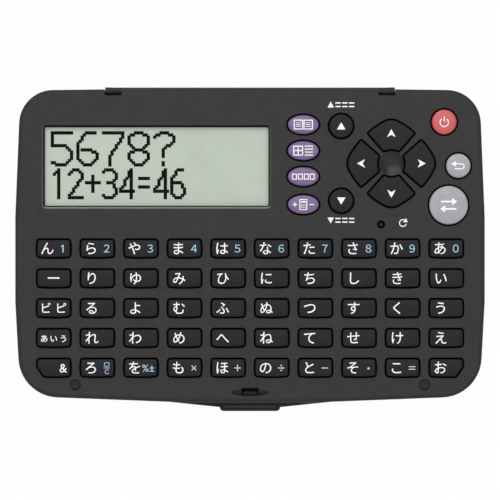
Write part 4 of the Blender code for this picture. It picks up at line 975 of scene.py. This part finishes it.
# The band across the tab, painted lighter as painted light in the case's shadow
TAB_PAINTED_LIGHT_BAND = (6.2, -36.9, 0.32)
TAB_CORNER = 0.25
# Growth and height of the dip's rings, and of the rings of the band that is painted lighter as
# painted light in the case's shadow
TAB_DIP_RINGS = ((0.0, 3.3), (0.12, 3.34), (0.42, 3.65), (0.6, 3.71), (0.9, 4.2))
TAB_PAINTED_LIGHT_RINGS = ((0.0, 3.66), (0.04, 4.2))
HOOK_HALF = 1.4
HOOK = [(-33.45, 0.0), (-32.6, 0.0), (-32.6, 3.2), (-33.05, 3.2), (-33.05, 0.9),
        (-33.45, 0.5)]
BAR_RADIUS = 0.9
BAR_HALF = 32.28
ARM_ROOM = 0.08
HEEL_INNER_X = 30.38
HEEL_HALF_Y = 0.86


def joined_to_lid():
    """The blocks of the hinge wall, the hinge bar, its heels, the apron and the hook."""
    apron = rounded(mirrored(APRON_RIGHT))
    return [
        lambda bm: both_sides(bm, BAR_HALF - SHELL_WALL, NOTCH_OUTER_X + SHELL_WALL,
                              (NOTCH_Y - SHELL_WALL, NOTCH_Y + SHELL_WALL / 2),
                              (LID_RIM_Z + LID_EDGE, LID_OUTER_Z - LID_EDGE)),
        lambda bm: rod(bm, HINGE_Y, LID_AXIS_Z, BAR_RADIUS, BAR_HALF),
        lambda bm: both_sides(bm, HEEL_INNER_X, BAR_HALF,
                              (HINGE_Y - HEEL_HALF_Y, HINGE_Y + HEEL_HALF_Y),
                              (0.0, LID_AXIS_Z)),
        lambda bm: loft(bm, pillow(apron, 0.0, APRON_TOP_Z, APRON_EDGE)),
        lambda bm: extruded(bm, HOOK, HOOK_HALF),
    ]


def cut_from_tab(bm, place, rings, index=0):
    """A groove across the cover's tab, from its half length, place and half width."""
    half_x, y, half_y = place
    groove = moved(rectangle(half_x, half_y, TAB_CORNER), 0.0, y)
    loft(bm, [(offset(groove, growth), z) for growth, z in rings], index)


def cut_from_lid():
    """The tab's dip, its band in lighter plastic as painted light, the room of the link's arms,
    and the pin's hole.
    """
    return [
        lambda bm: cut_from_tab(bm, TAB_DIP, TAB_DIP_RINGS),
        lambda bm: cut_from_tab(bm, TAB_PAINTED_LIGHT_BAND, TAB_PAINTED_LIGHT_RINGS, LID_LOOKS.index("tab")),
        lambda bm: both_sides(bm, BAR_HALF + ARM_ROOM, NOTCH_OUTER_X,
                              (NOTCH_Y, HINGE_Y + CUT_REACH),
                              (-CUT_REACH, LID_OUTER_Z + CUT_REACH)),
        lambda bm: rod(bm, HINGE_Y, LID_AXIS_Z, PIN_HOLE_RADIUS, NOTCH_OUTER_X),
    ]


def build_lid(materials):
    """The cover: a thin tray with its rim, tab, hook and hinge bar."""
    outline = rounded(mirrored(LID_RIGHT))
    slab = one_mesh(lambda bm: loft(bm, pillow(outline, LID_RIM_Z, LID_OUTER_Z, LID_EDGE)))
    made = finish_mesh("cover_shell", slab, [materials[look] for look in LID_LOOKS])
    hollow = offset(rounded(mirrored(CASE_RIGHT)), -LID_HOLLOW)
    cut(made, lambda bm: plate(bm, hollow, -CUT_REACH, LID_INNER_Z))
    for draw in joined_to_lid():
        cut(made, draw, "UNION")
    for draw in cut_from_lid():
        cut(made, draw)
    shade(made)
    keep_flat(made)
    dress(made, "lid", "case", "lid")


# Print

def add_text(bm, text, size, x, y, z, rise, index=0, growth=STROKE_GROWTH):
    """Add letters as thin print, centred across on x, with its middle on y."""
    curve = bpy.data.curves.new("letters", "FONT")
    curve.body = text
    curve.size = size
    curve.align_x = "CENTER"
    curve.extrude = INK / 2
    curve.resolution_u = LETTER_STEPS
    curve.offset = growth
    holder = bpy.data.objects.new("letters", curve)
    bpy.context.scene.collection.objects.link(holder)
    graph = bpy.context.evaluated_depsgraph_get()
    mesh = bpy.data.meshes.new_from_object(holder.evaluated_get(graph))
    mesh.transform(Matrix.Translation((x, y - rise * size, z - INK / 2)))
    before = len(bm.faces)
    bm.from_mesh(mesh)
    bm.faces.ensure_lookup_table()
    for face in bm.faces[before:]:
        face.material_index = index
    bpy.data.objects.remove(holder)
    bpy.data.curves.remove(curve)
    bpy.data.meshes.remove(mesh)


def bar(bm, x, y, half_x, half_y, z, index=0):
    """Add a printed bar."""
    plate(bm, moved(rectangle(half_x, half_y), x, y), z - INK, z, index)


def frame_mark(bm, x, y, half_x, half_y, line, z, index=0):
    """Add a printed frame of four bars."""
    for side in (-1, 1):
        bar(bm, x, y + side * (half_y - line / 2), half_x, line / 2, z, index)
        bar(bm, x + side * (half_x - line / 2), y, line / 2, half_y - line, z, index)


def polygon(bm, x, y, points, quarter, z, index=0):
    """Add a printed polygon, turned by quarters."""
    spin = Matrix.Rotation(quarter * math.pi / 2, 2)
    turned = [tuple(spin @ Vector(point)) for point in points]
    plate(bm, moved(turned, x, y), z - INK, z, index)


def dot(bm, x, y, radius, sides, z, index=0):
    """Add a printed dot."""
    plate(bm, moved(oval(radius, radius, sides), x, y), z - INK, z, index)


def arc(bm, x, y, radius, line, start, end, z, index=0):
    """Add a printed arc between two angles in degrees."""
    steps = max(ARC_LEAST, round(abs(end - start) / ARC_STEP))
    turns = [math.radians(start + (end - start) * step / steps) for step in range(steps + 1)]
    inner = radius - line
    for first, second in zip(turns, turns[1:]):
        corners = ((radius, first), (radius, second), (inner, second), (inner, first))
        piece = [(reach * math.cos(turn), reach * math.sin(turn)) for reach, turn in corners]
        plate(bm, moved(piece, x, y), z - INK, z, index)


def mark(bm, parts, x, y, z, index=0):
    """Draw a sign from its parts: for each a function, a place and the sizes."""
    for draw, shift_x, shift_y, *sizes in parts:
        draw(bm, x + shift_x, y + shift_y, *sizes, z, index)


ARC_LEAST = 6
ARC_STEP = 10

# Arrowheads and the figure 1, without a foot
TRIANGLE = [(-1.0, -0.8), (1.0, -0.8), (0.0, 0.85)]
ARROWHEAD = [(-1.0, -0.95), (0.0, -0.4), (1.0, -0.95), (0.0, 0.95)]
BACK_HEAD = [(-0.65, -0.6), (0.65, -0.6), (0.0, 0.6)]
ENTER_HEAD = [(-0.85, -0.55), (0.85, -0.55), (0.0, 0.65)]
LIST_HEAD = [(-0.75, -0.65), (0.75, -0.65), (0.0, 0.75)]
RESET_HEAD = [(-0.58, -0.3), (0.58, -0.3), (0.0, 0.6)]
ONE = [(0.14, -0.88), (0.14, 0.88), (-0.08, 0.88), (-0.46, 0.6), (-0.46, 0.36),
       (-0.14, 0.56), (-0.14, -0.88)]

# Signs on the keys: an open book, a grid beside a page, four frames, a pocket calculator
# between a plus and a minus, on and off, an arrow back, and arrows both ways
BOOK = [(frame_mark, side, 0.0, 0.95, 1.0, 0.2) for side in (-1.0, 1.0)]
BOOK += [(bar, side, row, 0.55, 0.06) for side in (-1.0, 1.0) for row in (-0.35, 0.0, 0.35)]
GRID = [(frame_mark, -1.05, 0.0, 1.0, 1.0, 0.2), (bar, -1.05, 0.0, 0.8, 0.1),
        (bar, -1.05, 0.45, 0.1, 0.35), (bar, -1.05, -0.45, 0.1, 0.35)]
GRID += [(bar, 1.15, row, 0.85, 0.1) for row in (-0.9, -0.3, 0.3, 0.9)]
FOUR = [(frame_mark, place, 0.0, 0.5, 0.6, 0.18) for place in (-1.8, -0.6, 0.6, 1.8)]
SUM = [(frame_mark, 0.0, 0.0, 0.8, 1.1, 0.18), (bar, 0.0, 0.55, 0.45, 0.16)]
SUM += [(bar, place, row, 0.1, 0.12) for row in (-0.1, -0.55) for place in (-0.35, 0.0, 0.35)]
SUM += [(bar, -1.7, 0.0, 0.45, 0.1), (bar, -1.7, 0.275, 0.1, 0.175),
        (bar, -1.7, -0.275, 0.1, 0.175), (bar, 1.7, 0.0, 0.45, 0.1)]
KEY_MARKS = {
    "mode_key_1": BOOK, "mode_key_2": GRID, "mode_key_3": FOUR, "mode_key_4": SUM,
    "scroll_up_key": [(polygon, 0.0, 0.0, TRIANGLE, 0)],
    "scroll_down_key": [(polygon, 0.0, 0.0, TRIANGLE, 2)],
    "power_key": [(arc, 0.0, -0.1, 1.1, 0.24, 125, 415), (bar, 0.0, 0.65, 0.12, 0.6)],
    "back_key": [(polygon, -1.15, 0.45, BACK_HEAD, 1), (bar, 0.05, 0.45, 0.7, 0.13),
                 (arc, 0.75, -0.125, 0.705, 0.26, 90, -90), (bar, -0.05, -0.7, 0.8, 0.13)],
    "enter_key": [(bar, -0.45, 0.85, 1.35, 0.2), (polygon, 1.35, 0.85, ENTER_HEAD, 3),
                  (bar, 0.45, -0.85, 1.35, 0.2), (polygon, -1.35, -0.85, ENTER_HEAD, 1)],
}
for TURN, SIDE in enumerate(SIDES):
    KEY_MARKS[f"cursor_{SIDE}_key"] = [
        (polygon, -PAD_ARROW * math.sin(TURN * math.pi / 2),
         PAD_ARROW * math.cos(TURN * math.pi / 2), ARROWHEAD, TURN)]

# Signs on the face: three lines beside an arrowhead, and an arrow that runs in a circle
LIST_LINES = [(bar, place, row, 0.62, 0.15) for place in (-0.75, 0.85, 2.45)
              for row in (-0.42, 0.42)]
LIST_HEAD_X = -2.45
LIST_SIGNS = ((33.9, 0), (6.84, 2))
RESET_MARK = [(arc, 0.0, 0.0, 0.9, 0.22, 55, 345), (polygon, 0.62, 0.52, RESET_HEAD, -1.4)]
RESET_MARK_PLACE = (35.8, 6.2)

# Blue signs, at their row and column: the figure 1, the clear key's bar, times, plus,
# divide, minus, point and equals
SIGN_HALF = 0.76
SIGN_LINE = 0.12
SIGN_ARM = (SIGN_HALF - SIGN_LINE) / 2
MARK_SCALE = 1.15
MINUS = [(bar, 0.0, 0.0, SIGN_HALF, SIGN_LINE)]
SIGNS = {
    (0, 0): [(polygon, 0.0, 0.0, ONE, 0)],
    (4, 1): [(bar, 0.0, 0.0, 0.75, 0.07)],
    (4, 3): [(polygon, 0.0, 0.0, rectangle(SIGN_HALF, SIGN_LINE), turn) for turn in (0.5, 1.5)],
    (4, 4): MINUS + [(bar, 0.0, side * (SIGN_LINE + SIGN_ARM), SIGN_LINE, SIGN_ARM)
                     for side in (-1, 1)],
    (4, 5): MINUS + [(dot, 0.0, side * 0.55, 0.2, 16) for side in (-1, 1)],
    (4, 6): MINUS,
    (4, 7): [(dot, 0.0, -0.1, 0.28, 20)],
    (4, 8): [(bar, 0.0, side * 0.3, SIGN_HALF, SIGN_LINE) for side in (-1, 1)],
}


def bend(bm, item):
    """Lay a print on the crowned top of its key."""
    y, half = item["spots"][0][1], item["spots"][0][3]
    for step in range(-round(half / PRINT_STEP), round(half / PRINT_STEP) + 1):
        bmesh.ops.bisect_plane(bm, geom=bm.verts[:] + bm.edges[:] + bm.faces[:], dist=BISECT_REACH,
                               plane_co=(0.0, y + step * PRINT_STEP, 0.0),
                               plane_no=(0.0, 1.0, 0.0))
    for corner in bm.verts:
        corner.co.z -= crown_drop(item, corner.co.x, corner.co.y)


def print_on(name, body, drawing, materials, inks=("ink_white",), item=None):
    """Make one printed piece from a drawing function; on a key it follows the top."""
    bm = bmesh.new()
    drawing(bm)
    if item:
        bend(bm, item)
    made = finish_mesh(name, bm, [materials[ink] for ink in inks])
    dress(made, body, "key_grey")


def draw_letters(bm, row, column, x, y):
    """Draw what one letter key carries."""
    words = list(WORDS.get((row, column), ()))
    kana = KANA_ROWS[row][column]
    if kana != " ":
        words.insert(0, (kana, KANA_SIZE, KANA_X[row], 0.0, KANA_RISE, WHITE, STROKE_GROWTH))
    for text, size, shift_x, shift_y, rise, ink, growth in words:
        add_text(bm, text, size, x + shift_x, y + shift_y, KEY_TOP_Z, rise, ink, growth)
    mark(bm, SIGNS.get((row, column), ()), x + DIGIT_X, y, KEY_TOP_Z, BLUE)


def print_letter_keys(keys, materials):
    """The kana, digits and signs of the five rows."""
    for item in keys:
        row = round((FIRST_ROW_Y - item["y"]) / PITCH_Y)

        def draw(bm, item=item, row=row):
            for x in item["xs"]:
                column = round(x / PITCH_X + (COLUMNS - 1) / 2)
                draw_letters(bm, row, column, x, item["y"])
        print_on(item["name"] + "_print", item["name"], draw, materials,
                 ("ink_white", "ink_blue"), item)


def print_control_keys(keys, materials):
    """The signs of the keys beside the display; those of the mode keys are enlarged."""
    for item in keys:
        if item["name"] not in KEY_MARKS:
            continue

        def draw(bm, item=item):
            x, y = item["xs"][0], item["y"]
            mark(bm, KEY_MARKS[item["name"]], x, y, KEY_TOP_Z)
            if item["slot"] == "key_purple":
                bmesh.ops.scale(bm, vec=(MARK_SCALE, MARK_SCALE, 1.0), verts=bm.verts,
                                space=Matrix.Translation((-x, -y, 0.0)))
        print_on(item["name"] + "_print", item["name"], draw, materials, item=item)


def print_face(materials):
    """The small signs on the face of the case."""
    z = CASE_TOP_Z + INK

    def draw(bm):
        for y, quarter in LIST_SIGNS:
            polygon(bm, SCROLL_X + LIST_HEAD_X, y, LIST_HEAD, quarter, z)
            mark(bm, LIST_LINES, SCROLL_X, y, z)
        mark(bm, RESET_MARK, *RESET_MARK_PLACE, z)
    print_on("face_print", "case", draw, materials)


# Display

DOT_PITCH = 0.5
DOT_FILL = 0.8
GLYPHS = {
    "1": [[(1, 2), (3, 0), (3, 12)]],
    "2": [[(0, 2), (2, 0), (4, 0), (6, 2), (6, 4), (0, 11), (0, 12), (6, 12)]],
    "3": [[(0, 1), (1, 0), (4, 0), (6, 2), (6, 4), (4, 6), (2, 6)],
          [(4, 6), (6, 8), (6, 10), (4, 12), (1, 12), (0, 11)]],
    "4": [[(5, 12), (5, 0), (0, 9), (6, 9)]],
    "5": [[(6, 0), (0, 0), (0, 5), (4, 5), (6, 7), (6, 10), (4, 12), (1, 12), (0, 11)]],
    "6": [[(5, 0), (3, 0), (0, 4), (0, 10), (2, 12), (4, 12), (6, 10), (6, 8), (4, 6),
           (1, 6)]],
    "7": [[(0, 0), (6, 0), (6, 2), (2, 9), (2, 12)]],
    "8": [[(2, 0), (4, 0), (6, 2), (6, 4), (4, 6), (2, 6), (0, 4), (0, 2), (2, 0)],
          [(2, 6), (0, 8), (0, 10), (2, 12), (4, 12), (6, 10), (6, 8), (4, 6)]],
    "+": [[(3, 3), (3, 9)], [(0, 6), (6, 6)]],
    "=": [[(1, 4), (5, 4)], [(1, 7), (5, 7)]],
    "?": [[(0, 2), (2, 0), (4, 0), (6, 2), (6, 3), (3, 6), (3, 9)],
          [(3, 11), (3, 12)]],
}
# Text, first dot's x and y, columns from one letter to the next, width and height shares
LINES = (("5678?", -46.35, 27.35, 12, 1.5, 1.25),
         ("12+34=46", -46.35, 18.66, 8, 1.0, 1.083))


def dots_of(letter, wide, tall):
    """The cells of a letter's strokes on the dot grid."""
    cells = set()
    for stroke in GLYPHS[letter]:
        stroke = [(round(x * wide), round(y * tall)) for x, y in stroke]
        for (x0, y0), (x1, y1) in zip(stroke, stroke[1:]):
            steps = max(abs(x1 - x0), abs(y1 - y0), 1)
            cells |= {(round(x0 + (x1 - x0) * step / steps), round(y0 + (y1 - y0) * step / steps))
                      for step in range(steps + 1)}
    return cells


def build_dots(materials):
    """The dark dots of two lines of figures, and a black border of the display, set off-centre so
    that it paints the rim's shade.
    """
    bm = bmesh.new()
    half = DOT_FILL / 2
    for text, start_x, start_y, advance, wide, tall in LINES:
        for place, letter in enumerate(text):
            for column, row in dots_of(letter, wide, tall):
                x = start_x + (place * advance + column) * DOT_PITCH
                y = start_y - row * DOT_PITCH
                plate(bm, moved(rectangle(half, half), x, y), PANEL_TOP_Z, PANEL_TOP_Z + INK)
    # Black border set off-centre: partly a real border, partly painted shade as a dark line inside
    # the rear and left rim
    shift_x, shift_y = SCREEN_SHADE_SHIFT
    frame_mark(bm, SCREEN_X + shift_x, SCREEN_Y + shift_y, SCREEN_HALF_X, SCREEN_HALF_Y,
               SCREEN_SHADE_LINE, PANEL_TOP_Z + 2 * INK)
    made = finish_mesh("display_dots", bm, [materials["ink_black"]])
    dress(made, "case", "display")


# Carried-over nodes

def smooth_group():
    """A modifier group that smooths all but the corners of a mesh."""
    group = bpy.data.node_groups.new("smooth_corners", "GeometryNodeTree")
    group.interface.new_socket("Geometry", in_out="INPUT", socket_type="NodeSocketGeometry")
    group.interface.new_socket("Geometry", in_out="OUTPUT", socket_type="NodeSocketGeometry")
    start, end = group.nodes.new("NodeGroupInput"), group.nodes.new("NodeGroupOutput")
    angle = group.nodes.new("GeometryNodeInputMeshEdgeAngle")
    low = group.nodes.new("FunctionNodeCompare")
    low.operation = "LESS_THAN"
    low.inputs["B"].default_value = NODE_SHARP_TURN
    faces = group.nodes.new("GeometryNodeSetShadeSmooth")
    edges = group.nodes.new("GeometryNodeSetShadeSmooth")
    edges.domain = "EDGE"
    group.links.new(start.outputs[0], faces.inputs["Geometry"])
    group.links.new(faces.outputs["Geometry"], edges.inputs["Geometry"])
    group.links.new(angle.outputs["Unsigned Angle"], low.inputs["A"])
    group.links.new(low.outputs["Result"], edges.inputs["Shade Smooth"])
    group.links.new(edges.outputs["Geometry"], end.inputs[0])
    return group


def dress_nodes(materials):
    """Give each shown node its material, joined corners and smooth curves."""
    group = smooth_group()
    slots = {entry["node"]: entry["material_slot"] for entry in frame["record"]["subparts"]}
    for name, obj in frame["nodes"].items():
        if obj.hide_render:
            continue
        for slot in obj.material_slots:
            slot.material = materials[slots[name]]
        if not obj.material_slots:
            obj.data.materials.append(materials[slots[name]])
        weld = obj.modifiers.new("weld", "WELD")
        weld.merge_threshold = WELD_REACH * MM
        smooth = obj.modifiers.new("smooth", "NODES")
        smooth.node_group = group
        even_normals(obj)


# Surroundings

FRAME_WIDTH = 117.07
FRAME_Y = -0.117
LENS = 400.0
SENSOR = 36.0
FLOOR_REACH = 3.0
FLOOR_DEPTH = 10.0
FLOOR_PATCH = 40.0
FLOOR_ROUGHNESS = 0.9
FLOOR_SHARE = 0.03
SKY_COLOUR = (0.97, 0.98, 1.0, 1.0)
SKY_STRENGTH = 0.3
CLIP_START = 0.01
# Name, place and size in metres, and power in watts
LAMPS = (("key_lamp", (-0.08, 0.42, 0.84), 0.6, 5.6),
         ("fill_lamp", (0.12, -0.22, 0.92), 0.8, 2.1))


def build_camera():
    """A long lens straight above the face."""
    data = bpy.data.cameras.new("camera")
    data.lens = LENS
    data.sensor_width = SENSOR
    data.clip_start = CLIP_START
    camera = bpy.data.objects.new("camera", data)
    distance = FRAME_WIDTH * MM * LENS / SENSOR
    camera.location = (0.0, FRAME_Y * MM, CASE_TOP_Z * MM + distance)
    bpy.context.scene.collection.objects.link(camera)
    bpy.context.scene.camera = camera


def combined(tree, operation, first, second):
    """The result of a math node; each value is a socket or a number."""
    made = tree.nodes.new("ShaderNodeMath")
    made.operation = operation
    feed(tree, made.inputs[0], first)
    feed(tree, made.inputs[1], second)
    return made.outputs[0]


def white_for_camera(tree, lit, output, share):
    """Show white to the camera, with a share of the lit surface in it."""
    rays = tree.nodes.new("ShaderNodeLightPath").outputs
    seen = combined(tree, "MAXIMUM", rays["Is Camera Ray"], rays["Is Glossy Ray"])
    seen = combined(tree, "MAXIMUM", seen, rays["Is Transmission Ray"])
    part = combined(tree, "MULTIPLY", seen, 1.0 - share)
    white = tree.nodes.new("ShaderNodeEmission" if output.type == "OUTPUT_MATERIAL"
                           else "ShaderNodeBackground")
    blend = tree.nodes.new("ShaderNodeMixShader")
    tree.links.new(part, blend.inputs["Fac"])
    tree.links.new(lit, blend.inputs[1])
    tree.links.new(white.outputs[0], blend.inputs[2])
    tree.links.new(blend.outputs["Shader"], output.inputs["Surface"])
    return white


def build_floor():
    """A pale floor that keeps the object's shadow."""
    bm = bmesh.new()
    reach = FLOOR_REACH / MM
    block(bm, (-reach, -reach, -FLOOR_DEPTH), (reach, reach, 0.0))
    material, tree, shader = blank_material("floor_paper")
    output = next(item for item in tree.nodes if item.type == "OUTPUT_MATERIAL")
    base = mixed(tree, spread(tree, noise(tree, FLOOR_PATCH), 0.0, 1.0),
                 colour(238, 238, 238), colour(244, 244, 244))
    tree.links.new(base, shader.inputs["Base Color"])
    shader.inputs["Roughness"].default_value = FLOOR_ROUGHNESS
    white_for_camera(tree, shader.outputs["BSDF"], output, FLOOR_SHARE)
    finish_mesh("floor", bm, [material])


def build_world():
    """Even daylight that the camera sees as white."""
    world = bpy.data.worlds.new("daylight")
    world.use_nodes = True
    tree = world.node_tree
    tree.nodes.clear()
    output = tree.nodes.new("ShaderNodeOutputWorld")
    sky = node(tree, "ShaderNodeBackground", Color=SKY_COLOUR, Strength=SKY_STRENGTH)
    white_for_camera(tree, sky.outputs[0], output, 0.0)
    bpy.context.scene.world = world


def add_lamp(name, spot, size, power):
    """A soft square lamp aimed at the middle of the object."""
    data = bpy.data.lights.new(name, "AREA")
    data.size = size
    data.energy = power
    lamp = bpy.data.objects.new(name, data)
    lamp.location = spot
    aim = Vector((0.0, 0.0, CASE_TOP_Z * MM)) - Vector(spot)
    lamp.rotation_euler = aim.to_track_quat("-Z", "Y").to_euler()
    bpy.context.scene.collection.objects.link(lamp)


def main():
    """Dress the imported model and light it."""
    scene = bpy.context.scene
    scene.view_settings.view_transform = "Standard"
    materials = make_materials()
    controls, letters = control_keys(), block_keys()
    for item in controls + letters:
        build_key(item, materials)
    build_face(controls + letters, materials)
    build_lid(materials)
    print_letter_keys(letters, materials)
    print_control_keys(controls, materials)
    print_face(materials)
    build_dots(materials)
    dress_nodes(materials)
    build_camera()
    build_floor()
    build_world()
    for lamp in LAMPS:
        add_lamp(*lamp)


main()
